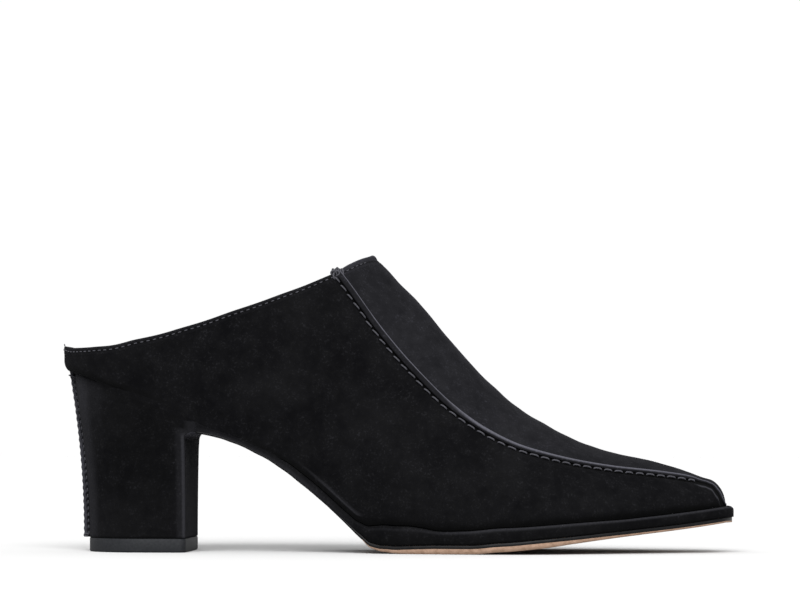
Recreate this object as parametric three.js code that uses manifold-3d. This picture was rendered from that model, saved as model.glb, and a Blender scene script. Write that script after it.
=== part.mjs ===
import * as THREE from "three";
import { mergeVertices } from "three/addons/utils/BufferGeometryUtils.js";
import Module from "manifold-3d";

// High-heeled mule for the right foot, in millimetres.
// +X points to the toe, -Y to the outer side and +Z up.
// The origin lies on the floor, halfway along the shoe.

const wasm = await Module();
wasm.setup();

// Driving sizes of the whole shoe
const shoeLength = 250; // back of the upper to the tip of the sole band
const ballWidth = 75; // upper at the ball, along its lower edge
const seatLift = 64.4; // rise of the sole's underside line from the tread to the back
const toeSpring = 11.2; // rise of the underside at the tip of the toe
const instepHeight = 98.8; // crest of the upper over its lower edge, at the throat
const backLip = 7.9; // topline over the lower edge, at the back
const throatPlace = 0.47; // share of the upper's length where the topline crosses the crest

// Upper
const upperWall = 2;
const crestLean = 2.5; // crest towards the inner side of the foot
const heelTuck = 2.2; // lower edge drawn in at the back
const tuckHeight = 3.5; // height over which that draw runs out
const heelRound = 27; // length of the rounded back
const toeCorner = 5.5; // rounding of the square toe, from above
const toeDrop = 6; // rounding of the toe's top edge, from the side
const seamLift = 1.2; // raised seam over the leather round it
const seamWidth = 2.4;

// Sole, insole and heel
const bandThickness = 7; // thickest part, at the front of the waist
const bandProud = 3; // band past the upper, round the forefoot
const bandEdgeRound = 1.2;
const soleThickness = 3.3; // outsole at the ball
const soleInset = 0.6; // outsole's edge behind the band's
const soleEdge = 1.3; // upright part of the outsole's edge, above its bevel
const soleBevel = 2; // width of the bevel round the underside
const insoleThickness = 4;
const heelWidth = 44; // at the floor
const heelDepth = 37.6; // at the floor, breast to back
const heelBackSet = 9.8; // heel's foot in from the back of the upper
const heelBackRound = 21; // length of the heel's rounded back
const heelCorner = 2.5; // upright corners beside the breast
const heelInset = 1.9; // heel's top in from the upper's lower edge
const breastFillet = 4; // rounding where the breast meets the underside of the sole
const finProud = 2.4; // standing back seam of the heel cover
const finThickness = 2.4;
const topPieceHeight = 5.2;
const seatGap = 0.3; // clearance between pieces that meet

const upperLength = shoeLength - bandProud;
const backX = -shoeLength / 2;
const toeX = backX + upperLength;
const throatX = backX + throatPlace * upperLength;

// Makes a table of rows with named columns.
function table(columns, rows) {
  return rows.map((row) => Object.fromEntries(columns.map((name, i) => [name, row[i]])));
}

// Sections of the upper. s is the place along it, outer and inner are half widths as shares of
// ballWidth, swell the widest half width over the one at the lower edge, belt the share of the
// height where that is reached, closure how full the section stays above it, and crest the
// height as a share of instepHeight. Behind the throat the crest is cut away by the collar.
const sections = table(
  ["s", "outer", "inner", "swell", "belt", "closure", "crest"],
  [
    [0.0, 0.355, 0.355, 1.06, 0.2, 3.6, 0.68],
    [0.13, 0.375, 0.37, 1.06, 0.2, 3.6, 0.78],
    [0.25, 0.36, 0.345, 1.06, 0.2, 3.6, 0.91],
    [0.33, 0.35, 0.31, 1.08, 0.18, 3.6, 1.01],
    [0.4, 0.355, 0.3, 1.1, 0.16, 3.4, 1.07],
    [0.44, 0.365, 0.305, 1.1, 0.14, 3.0, 1.06],
    [0.472, 0.38, 0.32, 1.09, 0.12, 2.6, 1.0],
    [0.509, 0.405, 0.345, 1.07, 0.1, 2.2, 0.907],
    [0.545, 0.43, 0.37, 1.06, 0.1, 1.9, 0.82],
    [0.581, 0.455, 0.395, 1.05, 0.1, 1.7, 0.724],
    [0.617, 0.478, 0.425, 1.04, 0.1, 1.55, 0.62],
    [0.653, 0.495, 0.457, 1.03, 0.12, 1.5, 0.522],
    [0.69, 0.5, 0.485, 1.03, 0.12, 1.5, 0.438],
    [0.726, 0.485, 0.5, 1.03, 0.12, 1.5, 0.377],
    [0.762, 0.452, 0.495, 1.03, 0.12, 1.5, 0.321],
    [0.799, 0.41, 0.475, 1.03, 0.12, 1.5, 0.276],
    [0.835, 0.362, 0.44, 1.03, 0.12, 1.5, 0.243],
    [0.871, 0.308, 0.393, 1.03, 0.13, 1.5, 0.216],
    [0.908, 0.25, 0.333, 1.03, 0.14, 1.6, 0.183],
    [0.944, 0.193, 0.272, 1.03, 0.15, 1.8, 0.144],
    [0.972, 0.15, 0.228, 1.03, 0.15, 2.0, 0.11],
    [1.0, 0.108, 0.185, 1.02, 0.15, 2.2, 0.086],
  ],
);

// Underside line of the sole and what lies on it. rise is a share of seatLift, spring of
// toeSpring, tread of soleThickness and band of bandThickness.
const soleLine = table(
  ["s", "rise", "spring", "tread", "band"],
  [
    [0.0, 1.0, 0, 0.3, 0.25],
    [0.045, 0.954, 0, 0.3, 0.25],
    [0.09, 0.898, 0, 0.3, 0.25],
    [0.144, 0.836, 0, 0.3, 0.25],
    [0.181, 0.763, 0, 0.28, 0.28],
    [0.206, 0.69, 0, 0.27, 0.5],
    [0.221, 0.678, 0, 0.27, 0.36],
    [0.24, 0.662, 0, 0.27, 0.27],
    [0.26, 0.638, 0, 0.27, 0.24],
    [0.3, 0.57, 0, 0.27, 0.25],
    [0.337, 0.486, 0, 0.3, 0.32],
    [0.366, 0.402, 0, 0.32, 0.4],
    [0.389, 0.331, 0, 0.33, 0.4],
    [0.424, 0.211, 0, 0.36, 0.4],
    [0.442, 0.145, 0, 0.38, 0.43],
    [0.46, 0.08, 0, 0.45, 0.57],
    [0.478, 0.026, 0, 0.6, 0.88],
    [0.497, 0.01, 0, 0.72, 1.0],
    [0.52, 0.001, 0, 0.85, 0.98],
    [0.548, 0, 0, 0.95, 0.86],
    [0.585, 0, 0, 1.0, 0.66],
    [0.61, 0, 0, 1.0, 0.68],
    [0.66, 0, 0.07, 1.0, 0.72],
    [0.711, 0, 0.16, 1.0, 0.67],
    [0.776, 0, 0.35, 0.82, 0.63],
    [0.812, 0, 0.46, 0.73, 0.59],
    [0.871, 0, 0.625, 0.64, 0.54],
    [0.944, 0, 0.82, 0.6, 0.54],
    [1.0, 0, 1.0, 0.58, 0.53],
  ],
);

// How far the band stands past the upper, as a share of bandProud.
const bandReach = table(
  ["s", "proud"],
  [
    [0.0, 0.05],
    [0.4, 0.1],
    [0.45, 0.3],
    [0.5, 0.7],
    [0.56, 1.0],
    [1.0, 1.0],
  ],
);

// Topline seen from the side: share of the climb from the back lip to the throat.
const topline = table(
  ["s", "climb"],
  [
    [-0.1, 0.04],
    [0.0, 0.03],
    [0.02, 0.0],
    [0.065, 0.01],
    [0.122, 0.084],
    [0.195, 0.22],
    [0.266, 0.393],
    [0.336, 0.572],
    [0.407, 0.78],
    [0.44, 0.9],
    [0.458, 0.968],
    [throatPlace, 1.0],
  ],
);

// Raised seam between the side panels and the plug: share of the section's height.
const seamLine = table(
  ["s", "height"],
  [
    [0.38, 0.815],
    [0.428, 0.796],
    [0.453, 0.781],
    [0.476, 0.757],
    [0.504, 0.722],
    [0.528, 0.695],
    [0.553, 0.677],
    [0.58, 0.666],
    [0.61, 0.662],
    [0.64, 0.663],
    [0.668, 0.669],
    [0.7, 0.683],
    [0.734, 0.703],
    [0.765, 0.727],
    [0.797, 0.749],
    [0.832, 0.767],
    [0.869, 0.779],
    [0.906, 0.802],
    [0.932, 0.831],
    [0.957, 0.862],
    [0.967, 0.862],
    [0.976, 0.835],
    [0.987, 0.71],
    [0.994, 0.42],
    [0.998, 0.12],
  ],
);

// Spacing of the rings along the shoe
const gridPitch = 4.5;
const endZone = 12;
const endSteps = 7;

const { lerp, clamp } = THREE.MathUtils;

// Smooth curve through one column of a table. The slope at each row is the harmonic mean of
// the slopes on its two sides, and zero where they turn, so the curve never overshoots.
function curveOf(rows, column) {
  const places = rows.map((row) => row.s);
  const values = rows.map((row) => row[column]);
  const steps = places.slice(1).map((s, i) => (values[i + 1] - values[i]) / (s - places[i]));
  const slopes = values.map((_, i) => {
    const before = steps[Math.max(i - 1, 0)];
    const after = steps[Math.min(i, steps.length - 1)];
    return before * after > 0 ? (2 * before * after) / (before + after) : 0;
  });
  return (s) => {
    const at = clamp(s, places[0], places[places.length - 1]);
    const i = Math.max(places.findIndex((place) => place >= at) - 1, 0);
    const span = places[i + 1] - places[i];
    const t = (at - places[i]) / span;
    const start = values[i] + t * span * slopes[i];
    const end = values[i + 1] - (1 - t) * span * slopes[i + 1];
    return lerp(start, end, t * t * (3 - 2 * t));
  };
}

const outerShare = curveOf(sections, "outer");
const innerShare = curveOf(sections, "inner");
const swellAt = curveOf(sections, "swell");
const beltAt = curveOf(sections, "belt");
const closureAt = curveOf(sections, "closure");
const crestShare = curveOf(sections, "crest");
const riseAt = curveOf(soleLine, "rise");
const springAt = curveOf(soleLine, "spring");
const treadAt = curveOf(soleLine, "tread");
const bandAt = curveOf(soleLine, "band");
const proudAt = curveOf(bandReach, "proud");
const climbAt = curveOf(topline, "climb");
const seamAt = curveOf(seamLine, "height");

const shareAlong = (x) => (x - backX) / upperLength;

// Heights of the stack at a place along the shoe, from the floor up
const undersideZ = (x) => seatLift * riseAt(shareAlong(x)) + toeSpring * springAt(shareAlong(x));
const treadTopZ = (x) => undersideZ(x) + soleThickness * treadAt(shareAlong(x));
const bandTopZ = (x) => treadTopZ(x) + seatGap + bandThickness * bandAt(shareAlong(x));
const lowerEdgeZ = (x) => bandTopZ(x) + seatGap;

// Share of full width at a distance from an end that is rounded over the given length.
function roundedEnd(distance, length, power) {
  const t = clamp(distance / length, 0, 1);
  return Math.pow(1 - Math.pow(1 - t, power), 1 / power);
}

// Plan of the upper at share s, grown outwards by a distance; the back may be drawn in.
function plan(s, grow, drawn) {
  const start = backX - grow + drawn;
  const end = toeX + grow;
  const span = end - start;
  const round = roundedEnd(s * span, heelRound + grow, 2) * roundedEnd((1 - s) * span, toeCorner + grow, 2.5);
  return {
    x: lerp(start, end, s),
    middle: ((innerShare(s) - outerShare(s)) / 2) * ballWidth,
    half: (((innerShare(s) + outerShare(s)) / 2) * ballWidth + grow) * round,
  };
}

// Height of the upper over its lower edge, with the top of the toe rounded down to it.
function heightAt(s, grow) {
  const step = 0.01;
  const slope = ((crestShare(s + step) - crestShare(s - step)) * instepHeight) / (2 * step * upperLength);
  const square = grow * Math.hypot(1, slope);
  return (crestShare(s) * instepHeight + square) * roundedEnd((1 - s) * upperLength, toeDrop + grow, 2);
}

// Half width at share v of the height, over the half width at the lower edge: it swells up to
// the belt and closes over the crest above it.
function closing(s, v) {
  const belt = beltAt(s);
  if (v < belt) {
    return 1 + (swellAt(s) - 1) * Math.sin((Math.PI / 2) * (v / belt));
  }
  return swellAt(s) * Math.sqrt(Math.max(1 - Math.pow((v - belt) / (1 - belt), closureAt(s)), 0));
}

// Point of the upper at share s along it and share v of its height, on side -1 or 1.
function upperPoint(s, v, side, grow) {
  const height = heightAt(s, grow);
  const fade = 1 - clamp((v * height) / tuckHeight, 0, 1);
  const at = plan(s, grow, heelTuck * (1 - Math.sqrt(1 - fade * fade)));
  const y = at.middle + side * at.half * closing(s, v) + crestLean * v * v * Math.min(1, at.half / toeCorner);
  return new THREE.Vector3(at.x, y, lowerEdgeZ(at.x) + v * height);
}

// Direction out of the upper's surface, square to it.
function outward(s, v, side) {
  const step = 0.004;
  const along = upperPoint(Math.min(s + step, 1), v, side, 0).sub(upperPoint(s - step, v, side, 0));
  const up = upperPoint(s, Math.min(v + step, 1), side, 0).sub(upperPoint(s, Math.max(v - step, 0), side, 0));
  return along.cross(up).multiplyScalar(-side).normalize();
}

// Share along the plan at which its lower edge, grown by a distance, lies at x.
function shareOf(x, grow) {
  const start = backX - grow + heelTuck;
  return clamp((x - start) / (toeX + grow - start), 0, 1);
}

// Places between two ends: on one grid that all pieces share, and closer at the ends.
function placesBetween(start, end) {
  const turn = (i) => endZone * (1 - Math.cos((Math.PI / 2) * (i / endSteps)));
  const steps = Array.from({ length: endSteps + 1 }, (_, i) => turn(i));
  const first = Math.ceil((start + endZone) / gridPitch + 0.25);
  const last = Math.floor((end - endZone) / gridPitch - 0.25);
  const grid = Array.from({ length: last - first + 1 }, (_, i) => (first + i) * gridPitch);
  return [...steps.map((step) => start + step), ...grid, ...steps.map((step) => end - step).reverse()];
}

// Joins rings of points into one closed body. The first half of a ring faces its second half,
// point by point, and the two ends are closed by strips between them. A ring may shrink to a
// line or a point.
function loft(rings) {
  const count = rings[0].length;
  const faces = [];
  const quad = (a, b, c, d) => faces.push([a, b, c], [a, c, d]);
  for (let i = 0; i + 1 < rings.length; i++) {
    for (let j = 0; j < count; j++) {
      const near = i * count + j;
      const next = i * count + ((j + 1) % count);
      quad(near, next, next + count, near + count);
    }
  }
  const last = (rings.length - 1) * count;
  for (let j = 0; j + 1 < count / 2; j++) {
    const far = count - 1 - j;
    quad(j + 1, j, far, far - 1);
    quad(last + j, last + j + 1, last + far - 1, last + far);
  }
  return solidOf(rings.flat(), faces);
}

// Solid from points and triangles, with equal points merged and triangles without area left out.
function solidOf(points, faces) {
  let geometry = new THREE.BufferGeometry().setFromPoints(points);
  geometry.setIndex(faces.flat());
  geometry = mergeVertices(geometry, 1e-4);
  const index = Array.from(geometry.index.array);
  const kept = faces
    .map((_, i) => index.slice(3 * i, 3 * i + 3))
    .filter(([a, b, c]) => a !== b && b !== c && c !== a);
  const place = geometry.attributes.position;
  const corner = (i) => new THREE.Vector3().fromBufferAttribute(place, i);
  const volume = kept.reduce((sum, [a, b, c]) => sum + corner(a).dot(corner(b).cross(corner(c))), 0);
  const outwardFaces = volume > 0 ? kept : kept.map(([a, b, c]) => [a, c, b]);
  const mesh = new wasm.Mesh({
    numProp: 3,
    vertProperties: Float32Array.from(place.array),
    triVerts: Uint32Array.from(outwardFaces.flat()),
  });
  return new wasm.Manifold(mesh);
}

// Ring of the upper's outer form: up the outer side, over the crest and down the inner side.
function outerRing(s, grow) {
  const seam = seamAt(s);
  const speed = upperPoint(s, seam + 0.01, 1, 0).distanceTo(upperPoint(s, seam - 0.01, 1, 0)) / 0.02;
  const share = Math.min(seamWidth / Math.max(speed, 1), 0.2);
  const foot = Math.max(seam - 0.6 * share, 0);
  const head = seam + 0.75 * share;
  const low = tuckHeight / heightAt(s, 0);
  const rows = [0, 0.2, 0.5].map((part) => [Math.min(low, 0.3 * foot) * part, 0]);
  rows.push(...[0, 0.18, 0.38, 0.6, 0.82, 1].map((part) => [lerp(Math.min(low, 0.3 * foot), foot, part), 0]));
  rows.push([Math.max(seam - 0.4 * share, 0), 0.85], [seam, 1], [seam + 0.35 * share, 0.75]);
  rows.push(...[0, 0.2, 0.42, 0.66, 0.86, 1].map((part) => [lerp(head, 1, part), 0]));
  const lifted = (side) => ([v, lift]) => {
    const point = upperPoint(s, v, side, 0);
    const rise = seamLift * lift * roundedEnd((1 - s) * upperLength, toeCorner, 2);
    return lift > 0 && s < 1 ? point.addScaledVector(outward(s, v, side), rise) : point;
  };
  return [...rows.map(lifted(-1)), ...rows.map(lifted(1)).reverse()];
}

// Ring of the room inside the upper, carried on below the lower edge.
function innerRing(s, grow) {
  const rows = [0, 0.02, 0.06, 0.16, 0.28, 0.42, 0.56, 0.7, 0.82, 0.91, 0.97, 1];
  const below = new THREE.Vector3(0, 0, -2 * insoleThickness);
  const wall = (side) => {
    const points = rows.map((v) => upperPoint(s, v, side, grow));
    return [points[0].clone().add(below), ...points];
  };
  return [...wall(-1), ...wall(1).reverse()];
}

// Everything above the topline, as a block across the shoe.
function collarCut() {
  const lowZ = lowerEdgeZ(backX) + backLip;
  const highZ = lowerEdgeZ(throatX) + heightAt(throatPlace, 0);
  const edge = Array.from({ length: 49 }, (_, i) => {
    const s = lerp(-0.05, throatPlace, i / 48);
    return new THREE.Vector2(backX + s * upperLength, lerp(lowZ, highZ, climbAt(s)));
  });
  const clear = highZ + instepHeight;
  edge.push(new THREE.Vector2(throatX + instepHeight, clear), new THREE.Vector2(backX - instepHeight, clear));
  const block = new THREE.ExtrudeGeometry(new THREE.Shape(edge), { depth: 2 * ballWidth, bevelEnabled: false });
  block.rotateX(Math.PI / 2);
  block.translate(0, ballWidth, 0);
  return fromGeometry(block);
}

function fromGeometry(geometry) {
  geometry.deleteAttribute("normal");
  geometry.deleteAttribute("uv");
  const merged = mergeVertices(geometry, 1e-4);
  const place = merged.attributes.position;
  const points = Array.from({ length: place.count }, (_, i) => new THREE.Vector3().fromBufferAttribute(place, i));
  const index = Array.from(merged.index.array);
  const faces = Array.from({ length: index.length / 3 }, (_, i) => index.slice(3 * i, 3 * i + 3));
  return solidOf(points, faces);
}

// Body of the upper's form, grown by a distance, from one ring at each place.
function formSolid(ring, grow) {
  const places = placesBetween(backX - grow + heelTuck, toeX + grow);
  return loft(places.map((x) => ring(shareOf(x, grow), grow)));
}

function upperSolid() {
  return formSolid(outerRing, 0).subtract(formSolid(innerRing, -upperWall)).subtract(collarCut());
}

// Slab between two heights, its edges following the upper's plan grown by a distance.
// edgeRows gives the points of its edge: share of the thickness, and how far they are drawn in.
function slab(places, grow, lowZ, highZ, edgeRows) {
  const ring = (x) => {
    const s = shareOf(x, grow(shareAlong(x)));
    const at = plan(s, grow(shareAlong(x)), heelTuck);
    const side = (sign) =>
      edgeRows(s).map(([height, inset]) => {
        const half = Math.max(at.half - inset * Math.min(1, at.half / bandProud), 0);
        const z = lerp(lowZ(at.x), highZ(at.x), height);
        return new THREE.Vector3(at.x, at.middle + sign * half, z);
      });
    return [...side(-1), ...side(1).reverse()];
  };
  return loft(places.map(ring));
}

function insoleSolid() {
  const room = formSolid(innerRing, -upperWall - seatGap);
  const top = (x) => lowerEdgeZ(x) + insoleThickness;
  const places = placesBetween(backX - bandProud + heelTuck, toeX + bandProud);
  const sheet = slab(places, () => bandProud, lowerEdgeZ, top, () => [[0, 0], [1, 0]]);
  return room.intersect(sheet);
}

// The sole and its band stop against the heel's breast
const breastX = backX + heelBackSet + heelDepth;
const soleBackX = breastX + breastFillet + seatGap;

const bandGrow = (s) => bandProud * proudAt(s);
const soleGrow = (s) => bandGrow(s) - soleInset;

function bandSolid() {
  const round = [[0, 0.7], [0.1, 0.3], [0.3, 0], [0.7, 0], [0.88, 0.3], [1, 1]];
  const rows = () => round.map(([height, inset]) => [height, inset * bandEdgeRound]);
  const low = (x) => treadTopZ(x) + seatGap;
  return slab(placesBetween(soleBackX, toeX + bandProud), bandGrow, low, bandTopZ, rows);
}

function outsoleSolid() {
  const rows = (s) => {
    const thickness = soleThickness * treadAt(s);
    const upright = Math.min(soleEdge / thickness, 0.75);
    return [[0, soleBevel * (1 - upright)], [1 - upright, 0], [1, 0]];
  };
  return slab(placesBetween(soleBackX, toeX + bandProud - soleInset), soleGrow, undersideZ, treadTopZ, rows);
}

// Shares of the heel's height, at its breast, between which the fillet sweeps forward
const heelLowZ = topPieceHeight + seatGap;
const heelHighZ = lowerEdgeZ(breastX + breastFillet) - seatGap;
const filletHead = (undersideZ(soleBackX) - heelLowZ) / (heelHighZ - heelLowZ);
const filletFoot = filletHead - breastFillet / (heelHighZ - heelLowZ);

// Half of the heel's plan at share t of its height and share q from its back to its breast.
function heelPlan(t, q) {
  const spread = t * t;
  const topBack = backX + heelTuck + heelInset;
  const back = lerp(backX + heelBackSet, topBack, spread);
  const sweep = clamp((t - filletFoot) / (filletHead - filletFoot), 0, 1);
  const front = breastX + breastFillet * (1 - Math.sqrt(1 - sweep * sweep));
  const x = lerp(back, front, q);
  const foot = (heelWidth / 2) * roundedEnd(q * heelDepth, heelBackRound, 2);
  const top = plan((x - topBack) / (toeX - heelInset - topBack), -heelInset, heelTuck);
  const cut = heelCorner - Math.sqrt(heelCorner ** 2 - Math.max(heelCorner - (front - x), 0) ** 2);
  const half = Math.max(lerp(foot, top.half, spread) - cut, 0);
  return { x, middle: top.middle * spread, half };
}

function heelRing(t) {
  const corner = heelCorner / heelDepth;
  const back = Array.from({ length: 19 }, (_, i) => (1 - 1.2 * corner) * (1 - Math.cos((Math.PI / 2) * (i / 18))));
  const shares = [...back, 1 - 0.6 * corner, 1 - 0.25 * corner, 1 - 0.06 * corner, 1];
  const side = (sign) =>
    shares.map((q) => {
      const at = heelPlan(t, q);
      return new THREE.Vector3(at.x, at.middle + sign * at.half, lerp(heelLowZ, lowerEdgeZ(at.x) - seatGap, t));
    });
  return [...side(-1).reverse(), ...side(1)];
}

// Standing seam down the back of the heel cover.
function finRing(t) {
  const back = heelPlan(t, 0).x;
  const half = finThickness / 2;
  const outline = [[half, -finThickness], [half, 0.7 * finProud], [0.5 * half, finProud]];
  const corners = [...outline, ...outline.map(([y, out]) => [-y, out]).reverse()];
  return corners.map(([y, out]) => {
    const x = back - out;
    return new THREE.Vector3(x, y, lerp(heelLowZ, lowerEdgeZ(x) - seatGap, t));
  });
}

function heelSolid() {
  const even = [0, 0.1, 0.22, 0.34, 0.46, 0.58, 0.7, 0.8, 1];
  const fillet = [0, 0.4, 0.7, 0.9, 1].map((part) => lerp(filletFoot, filletHead, part));
  const levels = [...even, ...fillet].sort((a, b) => a - b);
  return loft(levels.map(heelRing)).add(loft(levels.map(finRing)));
}

function topPieceSolid() {
  const outline = heelRing(0).map((point) => new THREE.Vector2(point.x, point.y));
  const block = new THREE.ExtrudeGeometry(new THREE.Shape(outline), { depth: topPieceHeight, bevelEnabled: false });
  return fromGeometry(block);
}

const material = (color, roughness) => new THREE.MeshStandardMaterial({ color, roughness, metalness: 0 });
const suede = material("#161618", 0.95);
const lining = material("#1b1a1a", 0.6);
const soleLeather = material("#3a2f28", 0.55);
const rubber = material("#242527", 0.5);

function named(name, body, look) {
  const { vertProperties, triVerts } = body.getMesh();
  const geometry = new THREE.BufferGeometry();
  geometry.setAttribute("position", new THREE.BufferAttribute(vertProperties, 3));
  geometry.setIndex(new THREE.BufferAttribute(triVerts, 1));
  const mesh = new THREE.Mesh(geometry.toNonIndexed(), look);
  mesh.geometry.computeVertexNormals();
  mesh.name = name;
  return mesh;
}

const mule = new THREE.Group();
mule.add(
  named("upper", upperSolid(), suede),
  named("insole", insoleSolid(), lining),
  named("midsole", bandSolid(), suede),
  named("outsole", outsoleSolid(), soleLeather),
  named("heel", heelSolid(), suede),
  named("top_piece", topPieceSolid(), rubber),
);

export default mule;
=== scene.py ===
# Black suede mule for the right foot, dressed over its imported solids
import bmesh
import bpy
import numpy as np
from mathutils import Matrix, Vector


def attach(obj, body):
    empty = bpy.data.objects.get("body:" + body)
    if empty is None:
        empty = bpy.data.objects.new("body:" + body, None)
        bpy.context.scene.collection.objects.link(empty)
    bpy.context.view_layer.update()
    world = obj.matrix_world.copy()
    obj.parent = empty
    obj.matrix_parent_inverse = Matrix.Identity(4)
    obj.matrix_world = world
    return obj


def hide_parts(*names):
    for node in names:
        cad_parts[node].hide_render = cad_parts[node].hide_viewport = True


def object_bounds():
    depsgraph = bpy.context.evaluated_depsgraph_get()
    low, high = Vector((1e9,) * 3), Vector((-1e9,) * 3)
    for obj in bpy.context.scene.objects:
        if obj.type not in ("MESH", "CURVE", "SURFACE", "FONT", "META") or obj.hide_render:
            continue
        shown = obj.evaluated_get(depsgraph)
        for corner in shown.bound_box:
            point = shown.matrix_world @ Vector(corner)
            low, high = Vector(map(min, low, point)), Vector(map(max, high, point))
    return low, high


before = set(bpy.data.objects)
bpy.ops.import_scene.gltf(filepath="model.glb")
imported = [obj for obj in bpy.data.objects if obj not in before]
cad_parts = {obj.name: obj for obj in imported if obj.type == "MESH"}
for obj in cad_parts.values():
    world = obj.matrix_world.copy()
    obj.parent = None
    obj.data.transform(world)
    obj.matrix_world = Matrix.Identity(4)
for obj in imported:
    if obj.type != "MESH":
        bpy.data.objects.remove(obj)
cadLow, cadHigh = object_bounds()
print("frame loaded")

mm = 0.001  # shapes are worked out in millimetres and scaled once, in addPiece

# Sizes of the whole shoe; +X points to the toe and -Y to the outer side
shoe = {
    "length": (cadHigh.x - cadLow.x) / mm,
    "ballWidth": 75,
    "seatLift": 64.4,  # rise of the sole's underside to the back
    "toeSpring": 11.2,
    "instepHeight": 98.8,
    "backLip": 7.9,
    "throatPlace": 0.47,
    "crestLean": 2.5,
    "heelTuck": 2.2,
    "tuckHeight": 3.5,
    "heelRound": 27,
    "toeCorner": 5.5,
    "toeDrop": 6,
    "bandThickness": 7,
    "bandProud": 3,
    "soleThickness": 3.3,
    "seatGap": 0.3,
}
upperLength = shoe["length"] - shoe["bandProud"]
backX = -shoe["length"] / 2
toeX = backX + upperLength

# Sections of the upper: place, half widths outer and inner as shares of ballWidth, swell, belt,
# closure, and crest as a share of instepHeight
sections = [
    [0.0, 0.355, 0.355, 1.06, 0.2, 3.6, 0.68],
    [0.13, 0.375, 0.37, 1.06, 0.2, 3.6, 0.78],
    [0.25, 0.36, 0.345, 1.06, 0.2, 3.6, 0.91],
    [0.33, 0.35, 0.31, 1.08, 0.18, 3.6, 1.01],
    [0.4, 0.355, 0.3, 1.1, 0.16, 3.4, 1.07],
    [0.44, 0.365, 0.305, 1.1, 0.14, 3.0, 1.06],
    [0.472, 0.38, 0.32, 1.09, 0.12, 2.6, 1.0],
    [0.509, 0.405, 0.345, 1.07, 0.1, 2.2, 0.907],
    [0.545, 0.43, 0.37, 1.06, 0.1, 1.9, 0.82],
    [0.581, 0.455, 0.395, 1.05, 0.1, 1.7, 0.724],
    [0.617, 0.478, 0.425, 1.04, 0.1, 1.55, 0.62],
    [0.653, 0.495, 0.457, 1.03, 0.12, 1.5, 0.522],
    [0.69, 0.5, 0.485, 1.03, 0.12, 1.5, 0.438],
    [0.726, 0.485, 0.5, 1.03, 0.12, 1.5, 0.377],
    [0.762, 0.452, 0.495, 1.03, 0.12, 1.5, 0.321],
    [0.799, 0.41, 0.475, 1.03, 0.12, 1.5, 0.276],
    [0.835, 0.362, 0.44, 1.03, 0.12, 1.5, 0.243],
    [0.871, 0.308, 0.393, 1.03, 0.13, 1.5, 0.216],
    [0.908, 0.25, 0.333, 1.03, 0.14, 1.6, 0.183],
    [0.944, 0.193, 0.272, 1.03, 0.15, 1.8, 0.144],
    [0.972, 0.15, 0.228, 1.03, 0.15, 2.0, 0.11],
    [1.0, 0.108, 0.185, 1.02, 0.15, 2.2, 0.086],
]

# Underside line of the sole: place, rise, spring, and the thickness of tread and band as shares
soleLine = [
    [0.0, 1.0, 0, 0.3, 0.25],
    [0.045, 0.954, 0, 0.3, 0.25],
    [0.09, 0.898, 0, 0.3, 0.25],
    [0.144, 0.836, 0, 0.3, 0.25],
    [0.181, 0.763, 0, 0.28, 0.28],
    [0.206, 0.69, 0, 0.27, 0.5],
    [0.221, 0.678, 0, 0.27, 0.36],
    [0.24, 0.662, 0, 0.27, 0.27],
    [0.26, 0.638, 0, 0.27, 0.24],
    [0.3, 0.57, 0, 0.27, 0.25],
    [0.337, 0.486, 0, 0.3, 0.32],
    [0.366, 0.402, 0, 0.32, 0.4],
    [0.389, 0.331, 0, 0.33, 0.4],
    [0.424, 0.211, 0, 0.36, 0.4],
    [0.442, 0.145, 0, 0.38, 0.43],
    [0.46, 0.08, 0, 0.45, 0.57],
    [0.478, 0.026, 0, 0.6, 0.88],
    [0.497, 0.01, 0, 0.72, 1.0],
    [0.52, 0.001, 0, 0.85, 0.98],
    [0.548, 0, 0, 0.95, 0.86],
    [0.585, 0, 0, 1.0, 0.66],
    [0.61, 0, 0, 1.0, 0.68],
    [0.66, 0, 0.07, 1.0, 0.72],
    [0.711, 0, 0.16, 1.0, 0.67],
    [0.776, 0, 0.35, 0.82, 0.63],
    [0.812, 0, 0.46, 0.73, 0.59],
    [0.871, 0, 0.625, 0.64, 0.54],
    [0.944, 0, 0.82, 0.6, 0.54],
    [1.0, 0, 1.0, 0.58, 0.53],
]

# Place and share: how far the band stands out, the topline's climb, the seam's height
bandReach = [[0.0, 0.05], [0.4, 0.1], [0.45, 0.3], [0.5, 0.7], [0.56, 1.0], [1.0, 1.0]]
topline = [
    [-0.1, 0.04],
    [0.0, 0.03],
    [0.02, 0.0],
    [0.065, 0.01],
    [0.122, 0.084],
    [0.195, 0.22],
    [0.266, 0.393],
    [0.336, 0.572],
    [0.407, 0.78],
    [0.44, 0.9],
    [0.458, 0.968],
    [shoe["throatPlace"], 1.0],
]
seamLine = [
    [0.38, 0.815],
    [0.428, 0.796],
    [0.453, 0.781],
    [0.476, 0.757],
    [0.504, 0.722],
    [0.528, 0.695],
    [0.553, 0.677],
    [0.58, 0.666],
    [0.61, 0.662],
    [0.64, 0.663],
    [0.668, 0.669],
    [0.7, 0.683],
    [0.734, 0.703],
    [0.765, 0.727],
    [0.797, 0.749],
    [0.832, 0.767],
    [0.869, 0.779],
    [0.906, 0.802],
    [0.932, 0.831],
    [0.957, 0.862],
    [0.967, 0.862],
    [0.976, 0.835],
    [0.987, 0.71],
    [0.994, 0.42],
    [0.998, 0.12],
]


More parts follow.
